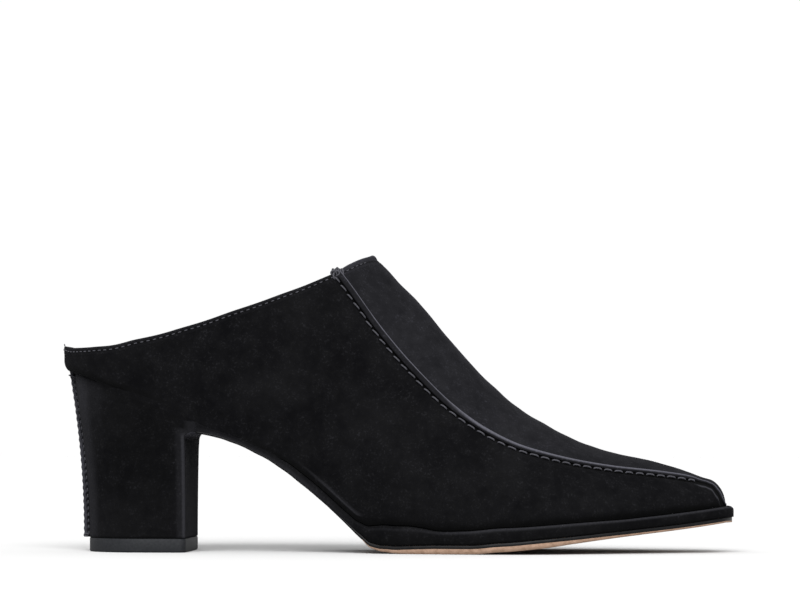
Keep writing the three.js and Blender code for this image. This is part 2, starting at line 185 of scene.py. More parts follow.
# Smooth curve through one column of a table: each row's slope is the harmonic mean of the two
# beside it, and a span blends its two slope lines by t*t*(3 - 2t)
def curveOf(rows, column):
    table = np.array(rows, float)
    places, values = table[:, 0], table[:, column]
    steps = np.diff(values) / np.diff(places)
    before, after = np.append(steps[0], steps), np.append(steps, steps[-1])
    turning = before * after <= 0
    slopes = np.where(turning, 0, 2 * before * after / np.where(turning, 1, before + after))

    def curve(s):
        at = np.clip(s, places[0], places[-1])
        i = np.clip(np.searchsorted(places, at) - 1, 0, len(places) - 2)
        span = places[i + 1] - places[i]
        t = (at - places[i]) / span
        start = values[i] + t * span * slopes[i]
        end = values[i + 1] - (1 - t) * span * slopes[i + 1]
        return start + (end - start) * t * t * (3 - 2 * t)

    return curve


outerShare, innerShare, swellAt, beltAt, closureAt, crestShare = [curveOf(sections, i) for i in range(1, 7)]
riseAt, springAt, treadAt, bandAt = [curveOf(soleLine, i) for i in range(1, 5)]
proudAt, climbAt, drawnSeamAt = curveOf(bandReach, 1), curveOf(topline, 1), curveOf(seamLine, 1)


# Share along the upper at place x
def shareAlong(x):
    return (x - backX) / upperLength


# Underside of the sole: the back's rise and the toe's spring, each by its column of soleLine
def undersideZ(x):
    return shoe["seatLift"] * riseAt(shareAlong(x)) + shoe["toeSpring"] * springAt(shareAlong(x))


# Top of the outsole: its thickness over the underside
def treadTopZ(x):
    return undersideZ(x) + shoe["soleThickness"] * treadAt(shareAlong(x))


# Top of the band: a gap and the band's thickness over the outsole
def bandTopZ(x):
    return treadTopZ(x) + shoe["seatGap"] + shoe["bandThickness"] * bandAt(shareAlong(x))


# Lower edge of the upper: a gap over the band
def lowerEdgeZ(x):
    return bandTopZ(x) + shoe["seatGap"]


# 0 below low, 1 above high, and t*t*(3 - 2t) between them
def smooth(low, high, value):
    t = np.clip((value - low) / (high - low), 0, 1)
    return t * t * (3 - 2 * t)


# Points from x, y and z, each spread to the shape of all three
def pointsOf(x, y, z):
    return np.stack(np.broadcast_arrays(x, y, z), -1)


# Share of full width at a distance from a rounded end: (1 - (1 - t)^p)^(1/p)
def roundedEnd(distance, length, power):
    t = np.clip(distance / length, 0, 1)
    return (1 - (1 - t) ** power) ** (1 / power)


# Plan of the upper at share s, grown outwards: x, the middle line and the half width
def plan(s, grow, drawn):
    start, end = backX - grow + drawn, toeX + grow
    span = end - start
    ends = roundedEnd(s * span, shoe["heelRound"] + grow, 2)
    ends = ends * roundedEnd((1 - s) * span, shoe["toeCorner"] + grow, 2.5)
    middle = (innerShare(s) - outerShare(s)) / 2 * shoe["ballWidth"]
    half = ((innerShare(s) + outerShare(s)) / 2 * shoe["ballWidth"] + grow) * ends
    return start + span * s, middle, half


# Height of the form over its lower edge: crest table, squared to the slope, rounded at the toe
def heightAt(s, grow):
    step = 0.01
    slope = (crestShare(s + step) - crestShare(s - step)) * shoe["instepHeight"] / (2 * step * upperLength)
    height = crestShare(s) * shoe["instepHeight"] + grow * np.hypot(1, slope)
    return height * roundedEnd((1 - s) * upperLength, shoe["toeDrop"] + grow, 2)


# Half width at share v of the height: a sine up to the belt, then a root that closes the crest
def closing(s, v):
    belt, swell = beltAt(s), swellAt(s)
    low = 1 + (swell - 1) * np.sin(np.pi / 2 * np.clip(v / belt, 0, 1))
    above = np.clip((v - belt) / (1 - belt), 0, 1)
    return np.where(v < belt, low, swell * np.sqrt(np.maximum(1 - above ** closureAt(s), 0)))


# Point of the upper at share s along it and share v up it, on side -1 or 1, grown outwards
def upperPoint(s, v, side, grow=0.0):
    s, v, side = np.broadcast_arrays(s, v, side)
    height = heightAt(s, grow)
    fade = 1 - np.clip(v * height / shoe["tuckHeight"], 0, 1)
    x, middle, half = plan(s, grow, shoe["heelTuck"] * (1 - np.sqrt(1 - fade * fade)))
    lean = shoe["crestLean"] * v * v * np.minimum(1, half / shoe["toeCorner"])
    return pointsOf(x, middle + side * half * closing(s, v) + lean, lowerEdgeZ(x) + v * height)


# Vectors at length 1
def unit(vectors):
    return vectors / np.maximum(np.linalg.norm(vectors, axis=-1, keepdims=True), 1e-9)


# Direction out of the upper, from the cross product of its two slopes
def outward(s, v, side, step=0.003):
    along = upperPoint(np.minimum(s + step, 1), v, side) - upperPoint(np.maximum(s - step, 0), v, side)
    up = upperPoint(s, np.minimum(v + step, 1), side) - upperPoint(s, np.maximum(v - step, 0), side)
    return unit(np.cross(along, up) * -np.broadcast_to(side, np.shape(along)[:-1])[..., None])


throatX = backX + shoe["throatPlace"] * upperLength
lipZ = lowerEdgeZ(backX) + shoe["backLip"]
throatZ = lowerEdgeZ(throatX) + heightAt(shoe["throatPlace"], 0)

# The drawn seam line evened out: its height is averaged with a bell of this width, taken twice so
# that bends keep their place, and left as drawn where it drops round the toe
evening = {"bell": 4.5, "from": 0.93, "to": 0.955}
seamPlaces = np.linspace(0.36, 0.998, 1100)
seamHeights = heightAt(seamPlaces, 0)
drawnZ = lowerEdgeZ(backX + upperLength * seamPlaces) + drawnSeamAt(seamPlaces) * seamHeights
apart = (seamPlaces[:, None] - seamPlaces[None, :]) * upperLength / evening["bell"]
bell = np.exp(-apart ** 2 / 2)
bell /= bell.sum(1, keepdims=True)
evenZ = 2 * bell @ drawnZ - bell @ (bell @ drawnZ)
toeward = smooth(evening["from"], evening["to"], seamPlaces)
evenZ = evenZ + (drawnZ - evenZ) * toeward
seamShares = (evenZ - lowerEdgeZ(backX + upperLength * seamPlaces)) / seamHeights


# Share of the height at which the seam runs: the evened line, then as drawn at the toe's pole
def seamAt(s):
    return np.where(s > seamPlaces[-1], drawnSeamAt(s), np.interp(s, seamPlaces, seamShares))


# Share of the height at which the topline, lowered by drop, crosses the grown form
def toplineShare(s, grow=0.0, drop=0.0):
    x = backX - grow + (upperLength + 2 * grow) * s
    z = lipZ + (throatZ - lipZ) * climbAt(shareAlong(x)) - drop
    return (z - lowerEdgeZ(x)) / np.maximum(heightAt(s, grow), 1e-6)


# Mesh from grids of points, each rows x columns x 3 in millimetres, or a stack of such grids. Every
# row is a ring, "finish" picks the material and "tone" is painted light and shade, from -1 painted
# shade to 1 painted highlight. Equal points are merged at seams and poles, and open ends are closed.
def addPiece(name, grids, materials, nodes=()):
    points, faces, finishes, tones, start = [], [], [], [], 0
    for grid in grids:
        stack = np.asarray(grid["points"], float)
        stack = stack.reshape((-1,) + stack.shape[-3:])
        count, rows, columns = stack.shape[:3]
        index = start + np.arange(count * rows * columns).reshape(count, rows, columns)
        index = np.concatenate([index, index[:, :, :1]], axis=2)
        quads = np.stack([index[:, :-1, :-1], index[:, :-1, 1:], index[:, 1:, 1:], index[:, 1:, :-1]], -1)
        points.append(stack.reshape(-1, 3))
        faces.append(quads.reshape(-1, 4))
        finishes.append(np.broadcast_to(grid.get("finish", 0), quads.shape[:3]).reshape(-1))
        tones.append(np.broadcast_to(grid.get("tone", 0.0), stack.shape[:3]).reshape(-1))
        start += count * rows * columns
    mesh = bpy.data.meshes.new(name)
    mesh.from_pydata((np.vstack(points) * mm).tolist(), [], np.vstack(faces).tolist())
    for material in materials:
        mesh.materials.append(material)
    mesh.polygons.foreach_set("material_index", np.concatenate(finishes).astype(np.int32))
    # painted light and shade per point: above 0 a painted highlight, below 0 painted shade
    layer = mesh.attributes.new("paintedShading", "FLOAT", "POINT").data
    layer.foreach_set("value", np.concatenate(tones).astype(np.float32))
    body = bmesh.new()
    body.from_mesh(mesh)
    bmesh.ops.remove_doubles(body, verts=body.verts, dist=2e-6)
    bmesh.ops.dissolve_degenerate(body, edges=body.edges, dist=1e-7)
    rims = [edge for edge in body.edges if edge.is_boundary]
    if rims:
        bmesh.ops.holes_fill(body, edges=rims, sides=0)
    bmesh.ops.recalc_face_normals(body, faces=body.faces)
    body.to_mesh(mesh)
    body.free()
    mesh.shade_smooth()
    piece = bpy.data.objects.new(name, mesh)
    bpy.context.scene.collection.objects.link(piece)
    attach(piece, "root")
    if nodes:
        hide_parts(*nodes)
    print(name, len(mesh.polygons), "faces")
    return piece


# Stitches: each centre line, stitches x samples x 3, gets a round section that closes at its ends,
# squared off by 1 - (2t - 1)^8, with its first axis towards the normal, one for all or one each
def threadGrid(lines, normals, thickness, sides=8):
    tangents = unit(np.gradient(lines, axis=1))
    across = unit(np.cross(tangents, normals))
    upright = unit(np.cross(across, tangents))
    t = np.linspace(0, 1, lines.shape[1])
    radius = thickness / 2 * np.sqrt(np.maximum(1 - (2 * t - 1) ** 8, 0))[None, :, None, None]
    turn = np.linspace(0, 2 * np.pi, sides, endpoint=False)[None, None, :, None]
    ring = across[:, :, None] * np.cos(turn) + upright[:, :, None] * np.sin(turn)
    return {"points": lines[:, :, None] + ring * radius}


# Length along a line of points, from its first
def runOf(points):
    return np.concatenate([[0], np.cumsum(np.linalg.norm(np.diff(points, axis=0), axis=1))])


# Values along a line taken at new lengths
def along(run, values, at):
    columns = np.reshape(values, (len(run), -1)).T
    return np.stack([np.interp(at, run, column) for column in columns], -1).reshape(np.shape(at) + (-1,))


# Linear colour of an sRGB hex value
def colour(code):
    values = np.array([int(code[i:i + 2], 16) for i in (1, 3, 5)]) / 255
    linear = np.where(values <= 0.04045, values / 12.92, ((values + 0.055) / 1.055) ** 2.4)
    return (*linear.tolist(), 1.0)


# Adds a node with its settings, then its links and values by socket name
def addNode(tree, kind, settings=None, **inputs):
    node = tree.nodes.new("ShaderNode" + kind)
    for key, value in (settings or {}).items():
        setattr(node, key, value)
    for key, value in inputs.items():
        socket = node.inputs[int(key[1:]) if key[0] == "i" and key[1:].isdigit() else key.replace("_", " ")]
        if isinstance(value, bpy.types.NodeSocket):
            tree.links.new(value, socket)
        else:
            socket.default_value = value
    return node


# Empty material and its node tree
def newMaterial(name):
    material = bpy.data.materials.new(name)
    material.use_nodes = True
    material.node_tree.nodes.clear()
    return material, material.node_tree


# Noises of the nap: size in millimetres, detail and roughness
napNoise = {
    "cloud": (24, 3.0, 0.6),  # where the nap lies another way
    "patch": (4.5, 5.0, 0.68),
    "tuft": (0.8, 2.0, 0.6),
    "fibre": (0.4, 3.0, 0.7),
}


# Suede: split calf buffed to a short nap. The eye sees a dry dark surface with clouds where the nap
# lies another way and fine flecks of lifted fibres in clusters; on top come painted highlights on
# edges and painted shade in creases and under parts. The nap is 0.2 mm long, its flecks are drawn 0.8 mm wide
# so that they show.
def suedeMaterial(name, dark, light, fleck, highlightColour, sheen=0.03):
    material, tree = newMaterial(name)
    place = addNode(tree, "TexCoord").outputs["Object"]
    cloud, patch, tufts, fibre = [
        addNode(tree, "TexNoise", Vector=place, Scale=1 / (size * mm), Detail=detail, Roughness=roughness)
        for size, detail, roughness in napNoise.values()]
    both = addNode(tree, "Math", {"operation": "MULTIPLY_ADD"}, i0=patch.outputs["Fac"], i1=0.8,
                   i2=cloud.outputs["Fac"])
    even = addNode(tree, "MapRange", Value=both.outputs[0], From_Min=0.7, From_Max=1.12)
    base = addNode(tree, "Mix", {"data_type": "RGBA"}, Factor=even.outputs[0], i6=colour(dark),
                   i7=colour(light))
    lifted = addNode(tree, "MapRange", Value=tufts.outputs["Fac"], From_Min=0.54, From_Max=0.72)
    cluster = addNode(tree, "MapRange", Value=patch.outputs["Fac"], From_Min=0.42, From_Max=0.64)
    share = addNode(tree, "Math", {"operation": "MULTIPLY"}, i0=lifted.outputs[0], i1=cluster.outputs[0])
    tufted = addNode(tree, "Mix", {"data_type": "RGBA"}, Factor=share.outputs[0], i6=base.outputs[2],
                     i7=colour(fleck))
    # painted highlight: the positive share mixes towards the highlight colour, broken up by the tufts
    paintedShading = addNode(tree, "Attribute", {"attribute_name": "paintedShading"}).outputs["Fac"]
    broken = addNode(tree, "Math", {"operation": "MULTIPLY_ADD"}, i0=tufts.outputs["Fac"], i1=1.2, i2=0.4)
    highlightShare = addNode(tree, "Math", {"operation": "MULTIPLY", "use_clamp": True}, i0=paintedShading, i1=broken.outputs[0])
    edge = addNode(tree, "Mix", {"data_type": "RGBA"}, Factor=highlightShare.outputs[0], i6=tufted.outputs[2],
                   i7=colour(highlightColour))
    # painted shade: the negative share mixes towards near black
    paintedShade = addNode(tree, "Math", {"operation": "MULTIPLY", "use_clamp": True}, i0=paintedShading, i1=-1.0)
    final = addNode(tree, "Mix", {"data_type": "RGBA"}, Factor=paintedShade.outputs[0], i6=edge.outputs[2],
                    i7=colour("#050505"))
    bump = addNode(tree, "Bump", Height=fibre.outputs["Fac"], Strength=0.4, Distance=0.2 * mm)
    soft = addNode(tree, "Bump", Height=patch.outputs["Fac"], Strength=0.3, Distance=0.6 * mm,
                   Normal=bump.outputs[0])
    shader = addNode(tree, "BsdfPrincipled", Base_Color=final.outputs[2], Roughness=0.95,
                     Normal=soft.outputs[0])
    shader.inputs["Specular IOR Level"].default_value = 0.01
    shader.inputs["Sheen Weight"].default_value = sheen
    shader.inputs["Sheen Roughness"].default_value = 0.5
    shader.inputs["Sheen Tint"].default_value = colour("#77777d")
    addNode(tree, "OutputMaterial", Surface=shader.outputs[0])
    return material


# Smooth finish: a fine noise, its grain and depth in millimetres, blends two tones and is the bump
def plainMaterial(name, dark, light, roughness, grain, depth, specular=0.5, coat=0.0):
    material, tree = newMaterial(name)
    place = addNode(tree, "TexCoord").outputs["Object"]
    noise = addNode(tree, "TexNoise", Vector=place, Scale=1 / (grain * mm), Detail=4.0, Roughness=0.6)
    tone = addNode(tree, "MapRange", Value=noise.outputs["Fac"], From_Min=0.3, From_Max=0.7)
    mix = addNode(tree, "Mix", {"data_type": "RGBA"}, Factor=tone.outputs[0], i6=colour(dark),
                  i7=colour(light))
    bump = addNode(tree, "Bump", Height=noise.outputs["Fac"], Strength=0.3, Distance=depth * mm)
    shader = addNode(tree, "BsdfPrincipled", Base_Color=mix.outputs[2], Roughness=roughness,
                     Normal=bump.outputs[0])
    shader.inputs["Specular IOR Level"].default_value = specular
    shader.inputs["Coat Weight"].default_value = coat
    addNode(tree, "OutputMaterial", Surface=shader.outputs[0])
    return material


# Lighter copy of the suede, painted light, for parts meant to look lit: plug, lip, fold, breast, back seam
# the last colour of each is its painted highlight colour
panelSuede = suedeMaterial("black_suede_panel", "#060607", "#0c0c0d", "#161618", "#232326")
litSuede = suedeMaterial("black_suede_painted_lit", "#0e0e10", "#161618", "#202024", "#404046")
# Thread: black twisted linen drawn through wax; its grey is a painted highlight for the wax's shine, its
# twist is 0.35 mm wide
threadBlack = plainMaterial("waxed_black_thread", "#242427", "#3a3a3f", 0.6, 0.35, 0.06, 0.1)
# Lining and sock: dyed calf with its grain left on, dull black in the shade, pores 1.2 mm apart
liningLeather = plainMaterial("black_lining_leather", "#0e0d0d", "#151414", 0.85, 1.2, 0.05, 0.04)
# Edge ink: brushed on and burnished, a smooth black that takes a little light at low angles
edgePaint = plainMaterial("black_edge_paint", "#080809", "#0f0f10", 0.45, 3.0, 0.05, 0.08)
# Sole leather: vegetable tanned and scoured, a warm light tan with cloudy fibres 2 mm wide
soleTan = plainMaterial("tan_sole_leather", "#77604f", "#957c6b", 0.6, 2.0, 0.05, 0.15)
# Heel rubber: moulded and trimmed, a matt dark grey with the trimmer's 0.8 mm marks
heelRubber = plainMaterial("black_heel_rubber", "#17181a", "#1f2022", 0.6, 0.8, 0.04, 0.06)
print("materials made")

# Panels of the upper
upper = {
    "skin": 1.0,  # thickness of the suede
    "wall": 1.8,  # suede and lining together
    "liningGap": 0.05,
    "foldRise": 0.9,  # the folded topline's round edge over the panels
    "step": 0.5,  # spacing of the panel's columns over the forefoot
    "panelRows": 64,
    "backRows": 10,
    "liningRows": 24,
    "stitchPitch": 4.1,
    "wrapProud": 0.16,  # the panel's edge laid over heel and waist
    "wrapStarts": (-114.0, -99.0),
    "wrapFades": (0.3, 0.345),
    "wrapDepth": (5.0, 1.9),  # over the heel, over the waist
    "wrapShallows": (-82, -73),
    "wrapSink": 0.15,  # its last row lies this far inside what carries it
    "wrapReach": 4.5,  # height over the edge where the panel is back on its form
    "edgeLight": 0.5,  # painted highlight where the edge thins out over the waist
    "edgeLightStarts": (-78, -70),
    "edgeLightEnds": (0.3, 0.36),
}
# The panel beside the seam: distances under the seam in millimetres, places as shares along
groove = {
    "starts": (-0.001, 0.006),  # past the topline
    "ends": (0.99, 0.999),
    "dip": 0.65,  # how deep the panel's edge is drawn in
    "dipReach": (0.9, 3.0),
    "toeDip": 0.6,  # share of that depth lost towards the toe
    "shallows": (0.94, 0.97),
    "puff": 0.25,  # height of the suede gathered between two stitches
    "puffReach": (1.2, 2.0, 2.4, 4.4),
    "beads": (0.54, 0.64),  # from here the lip is a round bead, and the dip smaller
    "dark": -0.95,  # painted shade under the lip
    "darkReach": 1.85,
    "narrows": (0.94, 0.955),
    "between": -0.3,  # painted shade between two puffs
    "betweenReach": (1.6, 2.0, 2.4, 3.4),
    "toeRim": 1.2,  # painted highlight on the fold where the seam turns down at the toe
    "toeRimPlace": (0.95, 0.965),
    "toeRimReach": (1.15, 1.4, 1.65, 2.0),
}
fromStart, toEnd = (-9, -8), (8, 9)  # windows that are open at one end
# Painted light and shade above the panel's lower edge: amount, window along the upper, window of millimetres
# up
paintedEdgeShading = {
    "shade over the band": (-0.75, (0.4, 0.5, *toEnd), (*fromStart, 0.4, 3.2)),
    "shade over the waist": (-0.65, (0.22, 0.34, 0.4, 0.5), (*fromStart, 0.4, 2.2)),
    "painted highlight of a ridge where the band begins": (0.75, (0.35, 0.43, 0.45, 0.466), (1.9, 2.5, 2.7, 3.6)),
    "shade over the heel": (-0.55, (*fromStart, 0.093, 0.223), (*fromStart, 0.3, 3.4)),
}


# 1 inside a window and 0 outside: its four ends say where it comes, is full, starts to go, is gone
def window(ends, value):
    comes, full, goes, gone = ends
    return smooth(comes, full, value) * (1 - smooth(goes, gone, value))


# Share of the panel's turn over heel and waist: from behind the breast to where the band begins
def wrapShare(x):
    return smooth(*upper["wrapStarts"], x) * (1 - smooth(*upper["wrapFades"], shareAlong(x)))


# Sole and heel
sole = {
    "inset": 0.6,  # the outsole's edge behind the band's
    "edge": 1.3,  # upright part of the outsole's edge
    "bevel": 2,
    "gap": 0.1,  # between band and outsole
    "insole": 4,
    "sockGap": 0.1,
    "sockDome": 1.2,  # how far the sock comes down at its sides
    "waistRoll": (2.2, 2.5),  # how far the waist's edge rolls in and up
    "waistUnder": 1.0,  # how far it goes on in under the sole
    "waistFlush": 0.25,  # the band is this much less proud under the panel's edge
    "flushEnds": (0.33, 0.4),
    "waistEnds": (0.41, 0.465),  # where the rolled waist turns into the upright band
    "topRounds": (0.33, 0.42),  # where the band's top edge begins to be rounded
    "paintedWaist": 0.458,  # the sole is painted black behind this share of its length
    "tipRound": 1.8,
    "tipDrop": 0.8,  # share of tipRound by which the band's top comes down at the tip
}
heel = {
    "width": 44,
    "depth": 38.2,
    "backSet": 9.8,
    "backRound": 21,
    "corner": 2.5,
    "inset": 1.9,  # the head at the back, in from the panel's lower edge
    "fillet": 4,
    "topPiece": 5.2,
    "topRadius": 20,  # the top piece's rounding is drawn in as a share of this
    "gap": 0.1,  # between the cover and what it meets
    "meetsPanel": (0.14, 0.52),  # from back to breast, where its head comes out to the panel's face
    "meetDepth": 0.05,  # how far inside the panel's turned edge the head then stays
    "topCloses": (0.14, 0.5),  # from back to breast, where its top closes the gap under the panel
}
breastX = backX + heel["backSet"] + heel["depth"]
soleBackX = breastX + heel["fillet"] + shoe["seatGap"]


# Share of the plan, grown outwards, at place x
def shareOf(x, grow):
    start = backX - grow + shoe["heelTuck"]
    return np.clip((x - start) / (toeX + grow - start), 0, 1)


# Places along a sole piece, even over its length and powered towards the toe
def solePlaces(start, end, step=0.9, toeZone=8.0):
    even = np.linspace(start, end - toeZone, int((end - toeZone - start) / step))
    return np.concatenate([even, end - toeZone * np.linspace(1, 0, 34)[1:] ** 2.3])


# How far the band stands out of the upper's plan, a little less under the panel's turned edge
def bandGrow(s):
    return shoe["bandProud"] * proudAt(s) - sole["waistFlush"] * (1 - smooth(*sole["flushEnds"], s))


# Plan of the band, less an inset: x, the middle line and the half width
def bandPlan(x, inset=0.0):
    grow = bandGrow(shareAlong(x)) - inset
    return plan(shareOf(x, grow), grow, shoe["heelTuck"])


# Rings of a slab: middle less width, then back along middle plus width, the width being the half
# width less insets that fade where the plan closes
def slab(x, middle, half, insets, z):
    width = np.maximum(half[:, None] - insets * np.minimum(1, half / shoe["bandProud"])[:, None], 0)
    x, middle = x[:, None], middle[:, None]
    sides = [pointsOf(x, middle + sign * width, z) for sign in (-1, 1)]
    return np.concatenate([sides[0], sides[1][:, ::-1]], 1)


# Foot and head of the heel, and the shares of its height where the fillet under the sole lies
heelLowZ = heel["topPiece"] + heel["gap"]
heelHighZ = lowerEdgeZ(breastX + heel["fillet"]) - shoe["seatGap"]
filletHead = (undersideZ(soleBackX) - heelLowZ) / (heelHighZ - heelLowZ)
filletFoot = filletHead - heel["fillet"] / (heelHighZ - heelLowZ)
topBack = backX + shoe["heelTuck"] + heel["inset"]


# Back and breast of the heel at share t of its height: the back leans by t squared, the breast is
# upright up to a quarter circle under the sole
def heelEnds(t):
    back = backX + heel["backSet"] + (topBack - backX - heel["backSet"]) * t * t
    sweep = np.clip((t - filletFoot) / (filletHead - filletFoot), 0, 1)
    return back, breastX + (soleBackX - heel["gap"] - breastX) * (1 - np.sqrt(1 - sweep * sweep))


# Middle and half width of the heel at place x: foot and head blended by t squared. The head stands
# in under the panel at the back and meets the panel's face from the middle on.
def heelHalf(t, x):
    back, front = heelEnds(t)
    q = np.clip((x - back) / (front - back), 0, 1)
    foot = heel["width"] / 2 * roundedEnd(q * heel["depth"], heel["backRound"], 2)
    span = toeX - heel["inset"] - topBack
    _, middle, head = plan(np.clip((x - topBack) / span, 0, 1), -heel["inset"], shoe["heelTuck"])
    start = backX + shoe["heelTuck"]
    _, _, flush = plan(np.clip((x - start) / (toeX - start), 0, 1), 0, shoe["heelTuck"])
    flush = flush + heel["meetDepth"] * (wrapShare(x) - 1)
    head = head + (flush - head) * smooth(*heel["meetsPanel"], q)
    corner = heel["corner"]
    cut = corner - np.sqrt(corner ** 2 - np.clip(corner - (front - x), 0, corner) ** 2)
    cut = cut * (1 - smooth(filletFoot - 0.1, filletHead, t))
    return middle * t * t, np.maximum(foot + (head - foot) * t * t - cut, 0)


# 1 where the band is rolled under the sole's edge at the waist, 0 where it stands upright forward
def bandCover(x):
    return 1 - smooth(*sole["waistEnds"], shareAlong(x))


# Lower edge of the band's face: a gap over the outsole forward, a gap under it at the waist
def bandLowZ(x):
    return treadTopZ(x) + sole["gap"] - bandCover(x) * (treadTopZ(x) + 2 * sole["gap"] - undersideZ(x))


# Rounded edges of the upright band: shares of its height, and how far in its face lies there
lowRound = ([0, 0.04, 0.12, 0.3, 0.5, 1], [0.8, 0.45, 0.18, 0, -0.05, 0])
topRound = ([0.7, 0.84, 0.93, 0.98, 1], [0, 0.15, 0.42, 0.8, 1.2])


# How far the band's face lies in at a share of its height: an upright face with rounded edges, or
# at the waist a quarter ellipse rolled under
def bandInset(x, share):
    cover, (rollIn, rollUp) = bandCover(x), sole["waistRoll"]
    rolled = 1 - np.clip((bandTopZ(x) - bandLowZ(x)) * share / rollUp, 0, 1)
    rolled = rollIn * (1 - np.sqrt(1 - rolled ** 2))
    high = np.interp(share, *topRound) * smooth(*sole["topRounds"], shareAlong(x))
    return np.interp(share, *lowRound) * (1 - cover) + rolled * cover + high


# Half width of heel or band, whichever carries the panel, at these places and heights
def carrierHalf(x, z):
    share = np.clip((z - bandLowZ(x)) / (bandTopZ(x) - bandLowZ(x)), 0, 1)
    t = np.clip((z - heelLowZ) / (lowerEdgeZ(x) - heelLowZ), 0, 1)
    return np.where(x < soleBackX, heelHalf(t, x)[1], bandPlan(x)[2] - bandInset(x, share))


# Places along the side of the upper, squared at the round back and powered at the toe's pole
def sidePlaces(*extra):
    back, toe = 0.11, 0.965
    middle = np.linspace(back, toe, int((toe - back) * upperLength / upper["step"]))
    near = back * np.linspace(0, 1, 34, endpoint=False) ** 2
    far = 1 - (1 - toe) * np.linspace(1, 0, 34) ** 2.3
    return np.unique(np.concatenate([near, middle, far[1:], extra]))


# Where the topline meets the seam, and the seam's run from there to the toe's pole
scan = np.linspace(0.39, 0.46, 2001)
seamStart = scan[np.argmax(toplineShare(scan, 0, upper["foldRise"]) > seamAt(scan))]
seamSteps = seamStart + (0.9985 - seamStart) * np.linspace(0, 1, 900)
seamRuns = {side: runOf(upperPoint(seamSteps, seamAt(seamSteps), side)) for side in (-1, 1)}
seamFall = np.gradient(upperPoint(seamSteps, seamAt(seamSteps), -1), axis=0)
seamFall = np.abs(seamFall[:, 0]) / np.hypot(seamFall[:, 0], seamFall[:, 2])


# Line of the seam on one side: its points, and the directions out of the upper and up across it
def seamPath(side, s):
    centre = upperPoint(s, seamAt(s), side)
    normal = outward(s, seamAt(s), side)
    across = unit(np.cross(unit(np.gradient(centre, axis=0)), normal))
    return centre, normal, across * np.sign(across[:1, 2:] + 1e-9)


# Panel's face at a distance below the seam: how far it stands out, a dip with a puff of suede
# between stitches, and its painted light: painted shade under the lip and a painted highlight where the seam
# turns at the toe
def besideSeam(s, below, side):
    inSeam = window((*(seamStart + np.array(groove["starts"])), *groove["ends"]), s)
    deep = inSeam * (1 - groove["toeDip"] * smooth(*groove["shallows"], s))
    bead = smooth(*groove["beads"], s)
    run = np.where(side < 0, np.interp(s, seamSteps, seamRuns[-1]), np.interp(s, seamSteps, seamRuns[1]))
    puff = 0.5 + 0.5 * np.cos(2 * np.pi * run / upper["stitchPitch"])
    dipFrom, dipTo = groove["dipReach"]
    dip = -groove["dip"] * (1 - 0.35 * bead) * (1 - smooth(dipFrom, dipTo - 0.5 * bead, below))
    gather = groove["puff"] * puff * window(groove["puffReach"], below)
    reach = groove["darkReach"] - 0.3 * bead - 0.4 * smooth(*groove["narrows"], s)
    # painted shade under the lip and between the puffs, painted highlight on the fold at the toe
    dark = groove["dark"] * (1 - smooth(reach - 0.4, reach, below))
    dark = dark + groove["between"] * (1 - puff) * (1 - bead) * window(groove["betweenReach"], below)
    rim = groove["toeRim"] * smooth(*groove["toeRimPlace"], s) * window(groove["toeRimReach"], below)
    return (dip + gather) * deep, (dark + rim) * inSeam


# Columns of a panel, from the toe's pole on the outer side, round the back, to the inner side's
def panelColumns():
    places = sidePlaces(seamStart)
    s = np.concatenate([places[::-1], places[1:]])[None, :]
    return s, np.concatenate([-np.ones(len(places)), np.ones(len(places) - 1)])[None, :]


# Side panel up to the seam or the topline, whichever is lower, rows being shares of that height
def panelGrid(grow, rows):
    s, side = panelColumns()
    limit = np.minimum(toplineShare(s, grow, upper["foldRise"]), seamAt(s))
    return upperPoint(s, limit * rows[:, None], side, grow), s, side, limit * rows[:, None]


# The whole form up to the topline or the crest, its rows squared towards the crest
def liningGrid(grow, rows):
    s, side = panelColumns()
    top = np.minimum(toplineShare(s, grow, upper["foldRise"]), 1)
    limit = np.where(s < shoe["throatPlace"], top, 1.0)
    return upperPoint(s, limit * (1 - (1 - rows[:, None]) ** 2), side, grow)


# Place where the lowered topline crosses the plug's line u, found by halving
def plugStart(u, grow, drop):
    low, high = np.full(u.shape, 0.36), np.full(u.shape, shoe["throatPlace"] + 0.06)
    for _ in range(40):
        middle = (low + high) / 2
        above = toplineShare(middle, grow, drop) > 1 - (1 - seamAt(middle)) * u * u
        low, high = np.where(above, low, middle), np.where(above, middle, high)
    return (low + high) / 2


# Point of the plug: u runs from -1 at the outer seam over the crest to 1 at the inner one, and the
# height falls from the crest to the seam by u squared
def plugPoint(s, u, grow):
    return upperPoint(s, 1 - (1 - seamAt(s)) * u ** 2, np.where(u < 0, -1.0, 1.0), grow)


# Grid of the plug, t running from the topline to the toe
def plugGrid(grow, t, u):
    start = plugStart(u, grow, upper["foldRise"])[None, :]
    return plugPoint(start + (1 - start) * t[:, None], u[None, :], grow)


# Rows below the panel's lower edge: laid over heel and waist, they thin out until they sink in
def turnedEdge(s, side):
    edge = upperPoint(s, 0.0, side)
    x, edgeZ = edge[:, 0], edge[:, 2]
    turn = wrapShare(x)
    _, middle, half = plan(s, 0, shoe["heelTuck"])
    half = half + upper["wrapProud"] * turn
    down = np.linspace(0, 1, 11)[1:, None]
    overHeel, overWaist = upper["wrapDepth"]
    z = edgeZ - down * (overHeel + (overWaist - overHeel) * smooth(*upper["wrapShallows"], x)) * turn
    wide = carrierHalf(x, z) + (half - carrierHalf(x, edgeZ)) * (1 - down) ** 2
    wide = wide - upper["wrapSink"] * down ** 1.5
    wide = half + (wide - half) * smooth(0, 0.15, turn)
    # painted highlight low on the turned edge
    paintedShading = upper["edgeLight"] * smooth(0.2, 1, down) * smooth(*upper["edgeLightStarts"], x)
    paintedShading = paintedShading * (1 - smooth(*upper["edgeLightEnds"], s))
    return pointsOf(x, middle + side * wide, z), paintedShading


# Rows spaced by a cosine, closer at both ends
def rowShares(count):
    return (1 - np.cos(np.pi * np.linspace(0, 1, count))) / 2


